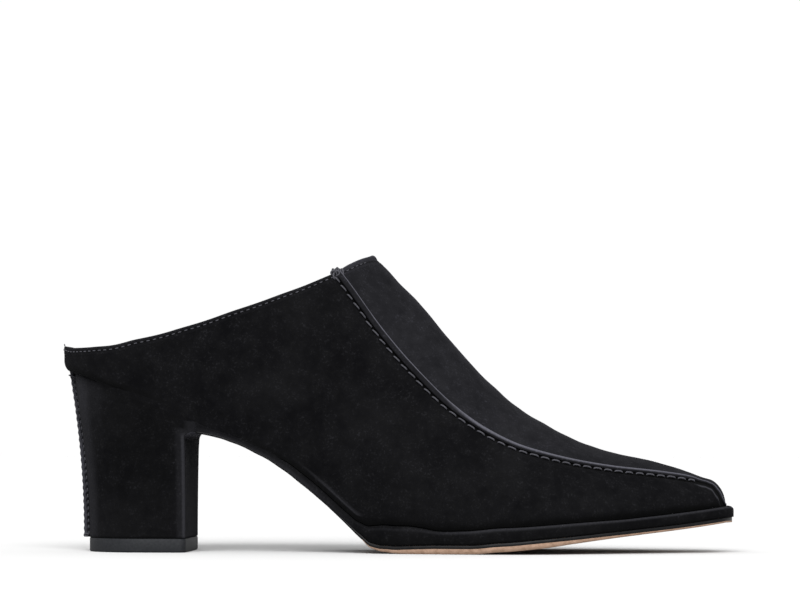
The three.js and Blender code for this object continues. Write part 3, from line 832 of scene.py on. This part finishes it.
# Side panels: outer face with its dip, its turned edge below, and inner face, as rings from toe to toe
def makeSidePanels():
    outer, s, side, v = panelGrid(0, rowShares(upper["panelRows"]))
    height = heightAt(s, 0)
    below = np.where(s < seamStart, 99, (seamAt(s) - v) * height * np.interp(s, seamSteps, seamFall))
    proud, paintedShading = besideSeam(s, below, side)
    risen = smooth(0, upper["wrapReach"], v * height)
    proud = proud + upper["wrapProud"] * wrapShare(outer[..., 0]) * (1 - risen)
    outer = outer + outward(s, v, side) * proud[..., None]
    for amount, alongIt, upIt in paintedEdgeShading.values():
        paintedShading = paintedShading + amount * window(alongIt, s) * window(upIt, v * height)
    turned, turnedShading = turnedEdge(s[0], side[0])
    inner = panelGrid(-upper["skin"], rowShares(upper["backRows"])[::-1])[0]
    grid = {"points": np.vstack([turned[::-1], outer, inner]).swapaxes(0, 1),
            "tone": np.vstack([turnedShading[::-1], paintedShading, np.zeros(inner.shape[:2])]).T}
    addPiece("side_panels", [grid], [panelSuede], ["upper"])


# Plug: outer and inner face of its grid, with a little painted highlight along the crest
def makeApronPlug():
    u = np.sin(np.pi / 2 * np.linspace(-1, 1, 61))
    toePole = 1 - 0.1 * np.linspace(1, 0, 40) ** 2.3
    t = np.concatenate([np.linspace(0, 0.9, 190, endpoint=False), toePole])
    outer, inner = plugGrid(0, t, u), plugGrid(-upper["skin"], t, u[::3])
    paintedShading = np.concatenate([0.12 * (1 - smooth(0.0, 0.35, np.abs(u))), np.zeros(inner.shape[1])])
    addPiece("apron_plug", [{"points": np.concatenate([outer, inner[:, ::-1]], 1),
                             "tone": paintedShading[None, None, :]}], [litSuede])


# Lining: the whole form a skin and a gap inwards, and again at the wall's inner face
def makeLining():
    rows = np.linspace(0, 1, upper["liningRows"])
    outer = liningGrid(-upper["skin"] - upper["liningGap"], rows)
    grid = np.vstack([outer, liningGrid(-upper["wall"], rows[::-1])]).swapaxes(0, 1)
    addPiece("lining", [{"points": grid}], [liningLeather])


makeSidePanels()
makeApronPlug()
makeLining()
print("upper made")

# Raised seam: the plug's edge turned out over the panel, flat at the throat and a round bead from
# the ball on, then hand stitches in the groove beside it
seam = {
    "rounds": (0.56, 0.64),
    "slims": (0.935, 0.97),  # the lip loses 0.35 of its size towards the toe
    "firstStitch": 1.6,
    "lastStitch": 0.957,
    "stitchLength": 3.3,
    "thread": 0.62,
    "stitchDrop": (2.15, 2.5),  # distance under the lip's middle, at the throat and at the toe
    "stitchArch": (0.05, 0.42),
    "stitchSlant": 0.22,
    "stitchRise": 0.82,
    "toward": (0.5, 0.66),  # where the stitches change from the throat's way to the toe's
}
# Rows of the lip: across and out of the surface, then painted light and shade, flat and round
flatLip = np.array([[1.6, -0.45, 0], [1.4, 0.1, 0], [1.22, 0.5, 0.8], [1.02, 0.8, 1.1], [0.82, 0.9, 0.9],
                    [0.6, 0.92, 0.0], [0.1, 0.88, -0.15], [-0.5, 0.8, -0.15], [-0.9, 0.62, -0.15],
                    [-1.08, 0.34, -0.6], [-1.08, 0.0, -0.9], [-0.9, -0.5, -1]])
roundLip = np.array([[1.5, -0.45, 0], [1.25, 0.1, 0], [1.0, 0.5, 0.3], [0.72, 0.8, 0.8], [0.38, 0.98, 1.0],
                     [0.0, 1.04, 1.0], [-0.38, 0.98, 0.55], [-0.7, 0.8, 0.0], [-0.92, 0.52, -0.1],
                     [-1.0, 0.22, -0.4], [-0.96, -0.05, -0.9], [-0.8, -0.5, -1]])


# Lip on one side: the flat profile blended into the round one and carried along the seam
def lipGrid(side):
    centre, normal, across = seamPath(side, seamSteps)
    rows = flatLip[None] + (roundLip - flatLip)[None] * smooth(*seam["rounds"], seamSteps)[:, None, None]
    slim = (1 - 0.35 * smooth(*seam["slims"], seamSteps))[:, None, None]
    section = across[:, None] * rows[..., :1] + normal[:, None] * rows[..., 1:2]
    return {"points": centre[:, None] + section * slim, "tone": rows[..., 2]}


# Hand stitches on one side: each arches by the root of 1 - reach squared and dives at its ends by
# reach to the sixth, and two sines make their lengths and places a little uneven
def seamStitches(side):
    centre, normal, across = seamPath(side, seamSteps)
    run = seamRuns[side]
    last = np.interp(seam["lastStitch"], seamSteps, run)
    middles = np.arange(seam["firstStitch"], last, upper["stitchPitch"])
    number = np.arange(len(middles))[:, None]
    wobble = np.sin(2.4 * number) * 0.5 + np.sin(5.3 * number) * 0.5
    reach = np.linspace(-1, 1, 11)[None, :]
    at = middles[:, None] + reach * seam["stitchLength"] / 2 * (1 + 0.1 * wobble)
    toward = smooth(*seam["toward"], np.interp(at, run, seamSteps))
    drop = seam["stitchDrop"][0] + np.ptp(seam["stitchDrop"]) * toward
    arch = seam["stitchArch"][0] + np.ptp(seam["stitchArch"]) * toward
    offset = -drop + arch * np.sqrt(1 - 0.96 * reach ** 2) + seam["stitchSlant"] * reach * (1 - toward)
    offset = offset + 0.08 * wobble
    rise = -0.35 + seam["stitchRise"] * (1 - reach ** 6)
    line = along(run, centre, at) + along(run, across, at) * offset[..., None]
    return threadGrid(line + along(run, normal, at) * rise[..., None], along(run, normal, at), seam["thread"])


addPiece("apron_seam", [lipGrid(side) for side in (-1, 1)], [litSuede])
addPiece("seam_stitches", [seamStitches(side) for side in (-1, 1)], [threadBlack])

# Folded topline: a loop round the collar, over the seam and across the plug
fold = {
    "tail": 2.9,  # how far the turned edge runs down the outside
    "proud": 0.12,
    "inside": 0.1,  # how far it stands off the lining
    "stitchDrop": 1.5,
    "stitchPitch": 2.4,
    "stitchLength": 1.35,
    "stitchDive": 0.38,
    "thread": 0.42,
    "spacing": 0.4,
    "plugLift": 0.6,  # the plug's edge over the panels'
    "peakLift": 0.9,  # its peak at the crest
    "plugStitched": 0.5,  # the plug's edge has no stitches nearer to the crest than this share
    "knotRoom": 2.2,  # and none this near to a knot
    "paintedShade": -0.75,  # painted shade between two stitches, then painted light on the tails, up the outside and on top
    "tailLight": 0.05,
    "sideLight": 0.12,
    "topLight": 0.35,
}
panelPlaces = seamStart * np.linspace(1, 0, 400) ** 1.3
plugShares = np.linspace(1, -1, 160)[1:-1]
panelCount = 2 * len(panelPlaces) - 1


# Loop of the topline for a growth and a drop: back along the outer side, round the lip and forward
# on the inner side, then along the plug's edge over the crest
def rimLoop(grow, drop):
    pastSeam = 99 * (panelPlaces < seamStart * 0.999)
    edge = np.minimum(toplineShare(panelPlaces, grow, drop), seamAt(panelPlaces) + pastSeam)
    outerSide = upperPoint(panelPlaces, edge, -1.0, grow)
    innerSide = upperPoint(panelPlaces, edge, 1.0, grow)[::-1][1:]
    plug = plugPoint(plugStart(plugShares, grow, drop), plugShares, grow)
    return np.vstack([outerSide, innerSide, plug, outerSide[:1]])


loopRun = runOf(rimLoop(0, upper["foldRise"]))
loopAt = np.linspace(0, loopRun[-1], int(loopRun[-1] / fold["spacing"]), endpoint=False)


# The loop at even lengths along the topline
def evenLoop(grow, drop):
    return along(loopRun, rimLoop(grow, drop), loopAt)


# The fold: tails outside, a half round over the edge by cosine and sine, and tails inside. Its
# stitches get a dotted line of painted shade, 1 between two of them.
def makeTopline():
    rise, proud, behind = upper["foldRise"], fold["proud"], -upper["wall"] - fold["inside"]
    outside, inside = evenLoop(proud, rise), evenLoop(behind, rise)
    upward = unit(evenLoop(0, rise - 0.5) - evenLoop(0, rise + 0.5))
    peak = np.minimum(1, 5 * (1 - np.abs(plugShares))) * fold["plugLift"]
    peak = peak + np.exp(-(plugShares / 0.2) ** 2) * fold["peakLift"]
    peak = along(loopRun, np.concatenate([np.zeros(panelCount), peak, [0]]), loopAt)
    lift = upward * rise + peak * np.array([0, 0, 1.0])
    ring = np.pi * np.linspace(0, 1, 11)[1:-1]
    middle, radial = (outside + inside) / 2, (outside - inside) / 2
    arc = [middle + radial * np.cos(a) + lift * np.sin(a) ** 0.8 for a in ring]
    # how far out of the form and how far below the topline each row of the tails runs
    tails = [(-0.15, fold["tail"] + 0.5), (proud * 0.6, fold["tail"]), (proud, 2.0),
             (proud * 0.2, fold["stitchDrop"]), (proud, 1.15)]
    insideTails = [(behind, 2.2), (-upper["wall"] + 0.3, 2.8), (-0.6, 2.8)]
    tails, insideTails = [[evenLoop(*row) for row in rows] for rows in (tails, insideTails)]
    rows = np.stack(tails + [outside] + arc + [inside] + insideTails, 0)
    paintedShading = np.zeros((len(rows), len(loopAt)))
    tail, paintedShade, side, top = slice(1, 5), 3, slice(5, 8), slice(8, 11)
    # painted light on tails, sides and top; painted shade dotted between the stitches
    paintedShading[tail], paintedShading[side], paintedShading[top] = fold["tailLight"], fold["sideLight"], fold["topLight"]
    paintedShading[paintedShade] = fold["paintedShade"] * (0.5 - 0.5 * np.cos(2 * np.pi * loopAt / fold["stitchPitch"]))
    rows, paintedShading = [np.concatenate([grid, grid[:, :1]], 1).swapaxes(0, 1) for grid in (rows, paintedShading)]
    onPlug = (loopAt > loopRun[panelCount - 1]).astype(int)[None, :, None]
    addPiece("folded_topline", [{"points": rows, "tone": paintedShading, "finish": onPlug}],
             [panelSuede, litSuede])


# Its stitches lie in the pressed line, from near the crest down round the lip and up again
def makeToplineStitches():
    line = evenLoop(fold["proud"] * 0.35, fold["stitchDrop"])
    outOf = unit(evenLoop(1.0, fold["stitchDrop"]) - evenLoop(0, fold["stitchDrop"]))
    middles = np.arange(int(loopRun[-1] / fold["stitchPitch"])) * fold["stitchPitch"]
    share = np.abs(np.interp(middles, loopRun[panelCount:-1], plugShares))
    atCrest = (middles > loopRun[panelCount]) & (share < fold["plugStitched"])
    knots = np.array([0, loopRun[panelCount - 1], loopRun[-1]])
    atKnot = (np.abs(middles[:, None] - knots) < fold["knotRoom"]).any(1)
    middles = middles[~atCrest & ~atKnot]
    reach = np.linspace(-1, 1, 8)
    at = middles[:, None] + reach[None, :] * fold["stitchLength"] / 2
    lift = (-0.2 + fold["stitchDive"] * (1 - reach ** 4))[None, :, None]
    lengthwise, normals = along(loopAt, line, at), along(loopAt, outOf, at)
    addPiece("topline_stitches", [threadGrid(lengthwise + normals * lift, normals, fold["thread"], 6)],
             [threadBlack])


# Knot where the seam meets the topline: the thread wound over the edge and tied off in a trefoil,
# and one thread end at the back lip
knot = {
    "thread": 0.72,
    "winds": 5,
    "spacing": 0.72,
    "reach": 2.3,  # height of a wind over its middle
    "tie": 1.75,  # half width of the trefoil
    "behind": 1.5,  # how far the trefoil sits off the winds along the edge
    "tieThread": 0.648,
    "endThread": 0.4,
    "endReach": (-0.45, 0.0, 1.5),  # from the lip to the end of the loose thread
}


# Winds on one side: half turns over the edge, each swayed and leaned by sines of its number
def knotGrids(side):
    out = outward(seamStart, seamAt(seamStart), side)
    edgeTop = upperPoint(seamStart, toplineShare(seamStart), side)
    turn = np.linspace(-0.35, np.pi + 0.3, 26)[None, :]
    number = np.arange(knot["winds"])[:, None] - (knot["winds"] - 1) / 2
    sway = np.sin(3.7 * number)
    lean = number * knot["spacing"] * (1 + 0.25 * np.cos(turn)) + 0.35 * sway * np.sin(turn * 0.5)
    width = (upper["wall"] + 1.5) / 2 + 0.12 * sway
    height = knot["reach"] + 0.3 * np.cos(2.1 * number)
    upright = np.array([0, 0, 1.0])
    middle = edgeTop - out * (upper["wall"] + 0.5) / 2 - upright
    level = unit(out * [1, 1, 0])
    alongEdge = unit(np.cross(level, upright)) * -side
    lines = middle + lean[..., None] * alongEdge + (width * np.cos(turn))[..., None] * level
    lines = lines + (height * np.sin(turn))[..., None] * upright
    angle = np.linspace(0, 2 * np.pi, 60)[:, None]
    trefoil = (np.sin(angle) + 2 * np.sin(2 * angle)) * alongEdge
    trefoil = trefoil + (np.cos(angle) - 2 * np.cos(2 * angle)) * upright - np.sin(3 * angle) * level * 0.5
    tie = edgeTop + level * 0.95 - upright * 1.2 + alongEdge * knot["behind"] + trefoil / 3 * knot["tie"]
    return [threadGrid(lines, lines - middle, knot["thread"]),
            threadGrid(tie[None], level, knot["tieThread"])]


# Both knots, and the thread end as a straight line
def makeKnots():
    rising = np.linspace(0, 1, 8)[:, None]
    end = np.array([backX + 0.1, 0.0, lipZ + 0.4]) + rising * np.array(knot["endReach"])
    end = threadGrid(end[None], [-1.0, 0.0, 0.0], knot["endThread"])
    addPiece("thread_knots", knotGrids(-1) + knotGrids(1) + [end], [threadBlack])


makeTopline()
makeToplineStitches()
makeKnots()
print("seam, topline and knots sewn")

# Painted light and shade of the rim that the band makes along the waist
paintedRimShading = {
    "under": (0.5, 0.75),  # on the two rows that lie under the waist
    "low": 0.8,  # painted highlight at the rim's lower edge, less the drop up its face
    "drop": 0.75,
    "fades": (0.1, 0.75),
    "topDark": 0.5,  # painted shade under the panel, from these shares along
    "topFrom": (0.31, 0.36),
    "dimming": 0.65,  # share of it lost towards the forefoot
    "dims": (0.35, 0.43),
    "nearHeel": 0.35,  # share of it left at the heel, whole again 9 mm on
    "heelReach": 9,
    "turns": (0.42, 0.5),  # where the rim's wear turns into the band's
}
# Painted light and shade of the upright band at shares of its height, and the painted highlight on its top
# edge over the forefoot
paintedBandShading = {"share": (0, 0.1, 0.3, 0.6, 0.84, 0.94, 1), "paintedShading": (-0.5, -0.35, -0.3, -0.15, 0.15, -0.1, -0.4),
            "topLight": 0.7, "topFrom": (0.5, 0.65)}


# Painted light and shade at each place and height of the band: the rim's, dimmed at its ends, blended into
# the band's
def bandTones(x, heights):
    s = shareAlong(x)[:, None]
    rim = paintedRimShading["low"] - paintedRimShading["drop"] * smooth(*paintedRimShading["fades"], heights)
    rim = rim - paintedRimShading["topDark"] * smooth(0.85, 1, heights) * smooth(*paintedRimShading["topFrom"], s)
    rim = np.concatenate([paintedRimShading["under"] + 0 * s, rim], 1)
    rim = rim * (1 - paintedRimShading["dimming"] * smooth(*paintedRimShading["dims"], s))
    grown = smooth(0, paintedRimShading["heelReach"], x - soleBackX)[:, None]
    rim = rim * (paintedRimShading["nearHeel"] + (1 - paintedRimShading["nearHeel"]) * grown)
    band = np.interp(heights, paintedBandShading["share"], paintedBandShading["paintedShading"])
    band = band + paintedBandShading["topLight"] * smooth(0.8, 0.95, heights) * smooth(*paintedBandShading["topFrom"], s)
    band = np.concatenate([paintedBandShading["paintedShading"][0] + np.zeros((len(x), 2)), band], 1)
    return rim + (band - rim) * smooth(*paintedRimShading["turns"], s)


# Sole band: two rows in under the waist, then up its face; its top comes down round the tip
def makeSoleBand():
    x = solePlaces(soleBackX, toeX + shoe["bandProud"])
    heights = np.concatenate([np.linspace(0, 0.3, 9), [0.45, 0.6, 0.75, 0.84, 0.9, 0.94, 0.97, 1.0]])
    x, middle, half = bandPlan(x)
    insets = bandInset(x[:, None], heights[None, :])
    insets = np.concatenate([insets[:, :1] + sole["waistUnder"] * np.array([[2.0, 1.0]]), insets], 1)
    low, cover = bandLowZ(x)[:, None], bandCover(x)[:, None]
    atTip = np.clip(1 - (x[-1] - x) / sole["tipRound"], 0, 1)[:, None]
    z = low + (bandTopZ(x)[:, None] - low) * heights
    z = z - heights * sole["tipRound"] * sole["tipDrop"] * (1 - np.sqrt(1 - atTip ** 2))
    hidden = treadTopZ(x)[:, None] + sole["gap"]
    z = np.concatenate([low * (1 - cover) + hidden * cover, low, z], 1)
    paintedShading = bandTones(x, heights)
    paintedShading = np.concatenate([paintedShading, paintedShading[:, ::-1]], 1)
    addPiece("sole_band", [{"points": slab(x, middle, half, insets, z), "tone": paintedShading}], [panelSuede],
             ["midsole"])


# Rows of the outsole's edge from below: height as a fixed part and a share of what lies under the
# upright edge, then inset as a fixed part and a share of the bevel
edgeRows = np.array([[0, 0, 0.4, 1], [0, 0.12, 0, 0.8], [0, 0.6, 0, 0.35], [0, 1, 0.05, 0],
                     [0.1, 0.9, 0, 0], [0.5, 0.5, 0, 0], [0.96, 0, 0.05, 0], [1, 0, 0.3, 0]])


# Outsole: a slab with those rows, its upright edge and its waist painted black
def makeOutsole():
    x = solePlaces(soleBackX, toeX + shoe["bandProud"] - sole["inset"])
    upright = np.minimum(sole["edge"] / (shoe["soleThickness"] * treadAt(shareAlong(x))), 0.75)[:, None]
    heights = edgeRows[:, 0] + edgeRows[:, 1] * (1 - upright)
    insets = edgeRows[:, 2] + edgeRows[:, 3] * sole["bevel"] * (1 - upright)
    black = (shareAlong(x) < sole["paintedWaist"])[:-1, None]
    x, middle, half = bandPlan(x, sole["inset"])
    low = undersideZ(x)[:, None]
    z = low + (treadTopZ(x)[:, None] - low) * heights
    upFaces = np.arange(3, 7)  # faces of the upright edge on one side; 14 less these are on the other
    painted = np.isin(np.arange(2 * len(edgeRows)), [*upFaces, *(14 - upFaces)])[None, :]
    addPiece("outsole_leather", [{"points": slab(x, middle, half, insets, z),
                                  "finish": (painted | black).astype(int)[None]}],
             [soleTan, edgePaint], ["outsole"])


# Painted light and shade of the heel's cover: amount, window from back to breast, window from foot to head
atBreast = (0.9999, 1, *toEnd)
paintedHeelShading = {
    "painted light beside the back seam": (0.4, (0.0, 0.03, 0.06, 0.16), (*fromStart, *toEnd)),
    "painted light beside the breast": (0.2, (0.88, 0.95, *toEnd), (*fromStart, *toEnd)),
    "shade between": (-0.25, (0.2, 0.4, 0.8, 0.95), (*fromStart, *toEnd)),
    "light below the panel": (0.25, (*fromStart, 0.05, 0.5), (0.6, 0.95, *toEnd)),
    "painted highlight on the corner's edge": (0.9, (0.962, 0.98, 0.992, 1), (*fromStart, filletFoot - 0.01, filletHead - 0.01)),
    "painted light on the side of the fillet": (0.05, (0.88, 1, *toEnd), (filletFoot - 0.02, filletHead, *toEnd)),
    "shade on the breast": (-0.35, atBreast, (*fromStart, *toEnd)),
    "light under the fillet": (1.2, atBreast, (filletFoot - 0.02, filletHead, *toEnd)),
}
# Standing back seam and the stitches through it, in millimetres
sewn = {
    "thickness": 2.4,
    "pitch": 2.3,
    "start": 1.5,
    "length": 1.35,
    "thread": 0.55,
    "insets": (0.35, 1.0),  # how far out from the heel's back, at its foot and head
    "secondRow": 0.8,
    "secondFrom": 0.62,
    "ripple": 0.12,
    "ripples": 24,
    "light": 0.42,  # share of the outline's painted light that shows
    # painted shade in each stitch hole
    "holeDark": 1.3,
    "holesOut": 0.7,  # the row of the outline that has the holes
}
# Half of its outline: across as a share of half its thickness, out from the heel's back, painted light
finHalf = np.array([[1, -2.4, 0.3], [1, 0.7, 0.6], [1, 1.4, 0.7], [0.85, 2.0, 0.9], [0.4, 2.35, 0.9],
                    [0, 2.4, 0.9]])
finHeight = lowerEdgeZ(backX + 4) - heelLowZ  # the panel's edge is met 4 mm in from the lip
heelAround = 1 - heel["corner"] / heel["depth"]
heelQ = np.concatenate([heelAround * np.linspace(0, 1, 56, endpoint=False) ** 2,
                        1 - (1 - heelAround) * (1 - np.sin(np.pi / 2 * np.linspace(0, 1, 10)))])


# Rows round the heel at height shares t: from the breast on the outer side round to the inner one
def heelGrid(t):
    back, front = heelEnds(t[:, None])
    x = back + (front - back) * heelQ[None, :]
    middle, half = heelHalf(t[:, None], x)
    top = lowerEdgeZ(x) + heel["gap"] * smooth(*heel["topCloses"], heelQ) - heel["gap"]
    z = heelLowZ + (top - heelLowZ) * t[:, None]
    sides = [pointsOf(x, middle + sign * half, z) for sign in (-1, 1)]
    return np.concatenate([sides[0][:, ::-1], sides[1][:, 1:]], 1)


# Standing seam: the outline carried up the heel's back, with a ripple on its edge, painted light on
# its face and painted shade for a hole at each stitch
def finGrid():
    t = np.linspace(0, 1, 171)[:, None]
    outline = np.concatenate([finHalf, finHalf[-2::-1] * [-1, 1, 1]])
    across, out = sewn["thickness"] / 2 * outline[:, 0], outline[:, 1]
    x = heelEnds(t)[0] - out - sewn["ripple"] * np.sin(2 * np.pi * t * sewn["ripples"]) * (out > 1)
    z = heelLowZ + (lowerEdgeZ(x) - heel["gap"] - heelLowZ) * t
    between = 0.5 - 0.5 * np.cos(2 * np.pi * (t * finHeight - sewn["start"]) / sewn["pitch"])
    holes = between * (np.abs(out - sewn["holesOut"]) < 0.1)
    paintedShading = outline[:, 2] * (sewn["light"] - sewn["holeDark"] * holes)
    return {"points": pointsOf(x, across, z), "tone": paintedShading, "finish": 1}


# Heel: the cover's rows at even heights and closer over the fillet, its breast in the lit suede, painted
# light
def makeHeel():
    fillet = filletFoot + (filletHead - filletFoot) * np.linspace(0, 1, 12)
    t = np.unique(np.concatenate([np.linspace(0, 1, 56), fillet]))
    paintedShading = sum(amount * window(upIt, t)[:, None] * window(roundIt, heelQ)[None, :]
               for amount, roundIt, upIt in paintedHeelShading.values())
    cover = heelGrid(t)
    breastFace = (np.arange(cover.shape[1]) == cover.shape[1] - 1).astype(int)
    addPiece("heel_cover", [{"points": cover, "finish": breastFace[None, None, :],
                             "tone": np.concatenate([paintedShading[:, ::-1], paintedShading[:, 1:]], 1)}, finGrid()],
             [panelSuede, litSuede], ["heel"])


# Stitches through the standing seam, a second row high up, and the tied ends at its head and foot
def makeBackStitches():
    half, foot, head = sewn["thickness"] / 2, heelEnds(0.0)[0], heelEnds(1.0)[0]
    threads = []
    for further, first in ((0, sewn["start"]), (sewn["secondRow"], sewn["secondFrom"] * finHeight)):
        reach = np.linspace(-1, 1, 8)
        height = np.arange(first, finHeight - 1, sewn["pitch"])[:, None] + reach * sewn["length"] / 2
        up = height / finHeight
        x = heelEnds(up)[0] - sewn["insets"][0] - np.ptp(sewn["insets"]) * up - further
        bulge = half - 0.12 + 0.2 * (1 - reach ** 4)
        for side in (-1, 1):
            line = pointsOf(x, side * bulge, heelLowZ + height)
            threads.append(threadGrid(line, [0.0, side, 0.0], sewn["thread"], 6))
    turn, wave = np.linspace(0, 2 * np.pi, 30), np.linspace(0, 1, 30)
    # the ends: straight over the seam's head, and a curl by cosine and sine beside its foot
    headEnd = pointsOf(head - 2.6 + 3.4 * wave, -half - 0.35, heelLowZ + finHeight * 0.985 - wave)
    footEnd = pointsOf(foot - 1.4 - 0.9 * np.cos(turn), -half - 0.25 + 0.25 * np.sin(2 * turn),
                       heelLowZ + 0.9 + 0.8 * np.sin(turn) * wave)
    for line in (headEnd, footEnd):
        threads.append(threadGrid(line[None], [0.0, -1.0, 0.0], sewn["thread"]))
    addPiece("back_seam_stitches", threads, [threadBlack])


# Top piece: the heel's foot drawn in at each level, as height and inset
def makeTopPiece():
    foot = heelGrid(np.array([0.0]))[0]
    centre, top = foot.mean(0), heel["topPiece"]
    levels = np.array([[0, 0.5], [0.25, 0.12], [0.6, 0], [top - 0.5, 0], [top - 0.2, 0.12], [top, 0.4]])
    rings = centre + (foot[None] - centre) * (1 - levels[:, 1] / heel["topRadius"])[:, None, None]
    rings[..., 2] = levels[:, :1]
    addPiece("top_piece_rubber", [{"points": rings}], [heelRubber], ["top_piece"])


# Sock: rounded off at its sides by the sixth power of the share across
def makeSock():
    grow, gap = -upper["wall"] - sole["sockGap"], shoe["seatGap"]
    s = shareOf(solePlaces(backX + upper["wall"] + shoe["heelTuck"], toeX - upper["wall"] - gap), grow)
    across = np.sin(np.pi / 2 * np.linspace(-1, 1, 25))[None, :]
    faces = []
    top = sole["insole"] - sole["sockDome"] * np.abs(across) ** 6
    for drawn, height in ((0, top), (shoe["heelTuck"], gap)):
        x, middle, half = [values[:, None] for values in plan(s, grow, drawn)]
        faces.append(pointsOf(x, middle + half * across, lowerEdgeZ(x) + height))
    rings = np.concatenate([faces[0], faces[1][:, ::-1]], 1)
    sock = addPiece("padded_sock", [{"points": rings}], [liningLeather], ["insole"])


makeSoleBand()
makeOutsole()
makeHeel()
makeBackStitches()
makeTopPiece()
makeSock()
print("sole and heel made")

# Floor and light. The sky is white at the horizon and a little brighter overhead; one wide soft key
# from in front throws the shoe's shadow back under it, and the floor's grey comes out white.
studio = {
    "horizon": 1.01,
    "zenithGain": 0.3,
    "keyStrength": 6.6,
    "keySpread": 46,
    "keyFrom": (0.05, -1.25, 1.0),
    "floor": 0.422,
    "floorReach": 6.0,
}
scene = bpy.context.scene


# Floor: one large square
def makeFloor():
    reach = studio["floorReach"]
    mesh = bpy.data.meshes.new("pale_floor")
    mesh.from_pydata([(-reach, -reach, 0), (reach, -reach, 0), (reach, reach, 0), (-reach, reach, 0)], [],
                     [(0, 1, 2, 3)])
    floor = bpy.data.objects.new("pale_floor", mesh)
    scene.collection.objects.link(floor)
    paper, tree = newMaterial("matt_white_floor")
    shader = addNode(tree, "BsdfDiffuse", Color=(studio["floor"],) * 3 + (1.0,))
    addNode(tree, "OutputMaterial", Surface=shader.outputs[0])
    mesh.materials.append(paper)


# Sky: horizon plus gain times the squared height of the direction looked in
def makeSky():
    world = bpy.data.worlds.new("soft_studio")
    world.use_nodes = True
    tree = world.node_tree
    height = addNode(tree, "SeparateXYZ", i0=addNode(tree, "TexCoord").outputs["Generated"]).outputs[2]
    above = addNode(tree, "Math", {"operation": "MAXIMUM"}, i0=height, i1=0.0)
    square = addNode(tree, "Math", {"operation": "MULTIPLY"}, i0=above.outputs[0], i1=above.outputs[0])
    glow = addNode(tree, "Math", {"operation": "MULTIPLY_ADD"}, i0=square.outputs[0], i1=studio["zenithGain"],
                   i2=studio["horizon"])
    tree.links.new(glow.outputs[0], tree.nodes["Background"].inputs["Strength"])
    tree.nodes["Background"].inputs["Color"].default_value = (1, 1, 1, 1)
    scene.world = world


# Key: its turn is the arc tangent of how far the light comes from the side and from the front
def makeKey():
    key = bpy.data.lights.new("soft_key", "SUN")
    key.energy, key.angle = studio["keyStrength"], np.radians(studio["keySpread"])
    lamp = bpy.data.objects.new("soft_key", key)
    scene.collection.objects.link(lamp)
    x, y, z = studio["keyFrom"]
    lamp.rotation_euler = (np.arctan2(np.hypot(x, y), z), 0, np.arctan2(x, -y))


makeFloor()
makeSky()
makeKey()
scene.view_settings.view_transform = "Standard"

# Camera of the photo: place in metres, angles in degrees, lens in millimetres
view = {"place": (0.094, -1.5, 0.044), "yaw": -3.551, "pitch": 1.898, "roll": -0.039, "lens": 181.18}
cameraData = bpy.data.cameras.new("photo_camera")
cameraData.lens = view["lens"]
cameraData.sensor_width = 36
cameraData.clip_start, cameraData.clip_end = 0.05, 50
camera = bpy.data.objects.new("photo_camera", cameraData)
scene.collection.objects.link(camera)
camera.location = view["place"]
camera.rotation_mode = "XYZ"
camera.rotation_euler = np.radians([90 + view["pitch"], view["roll"], -view["yaw"]])
scene.camera = camera

print("scene ready")
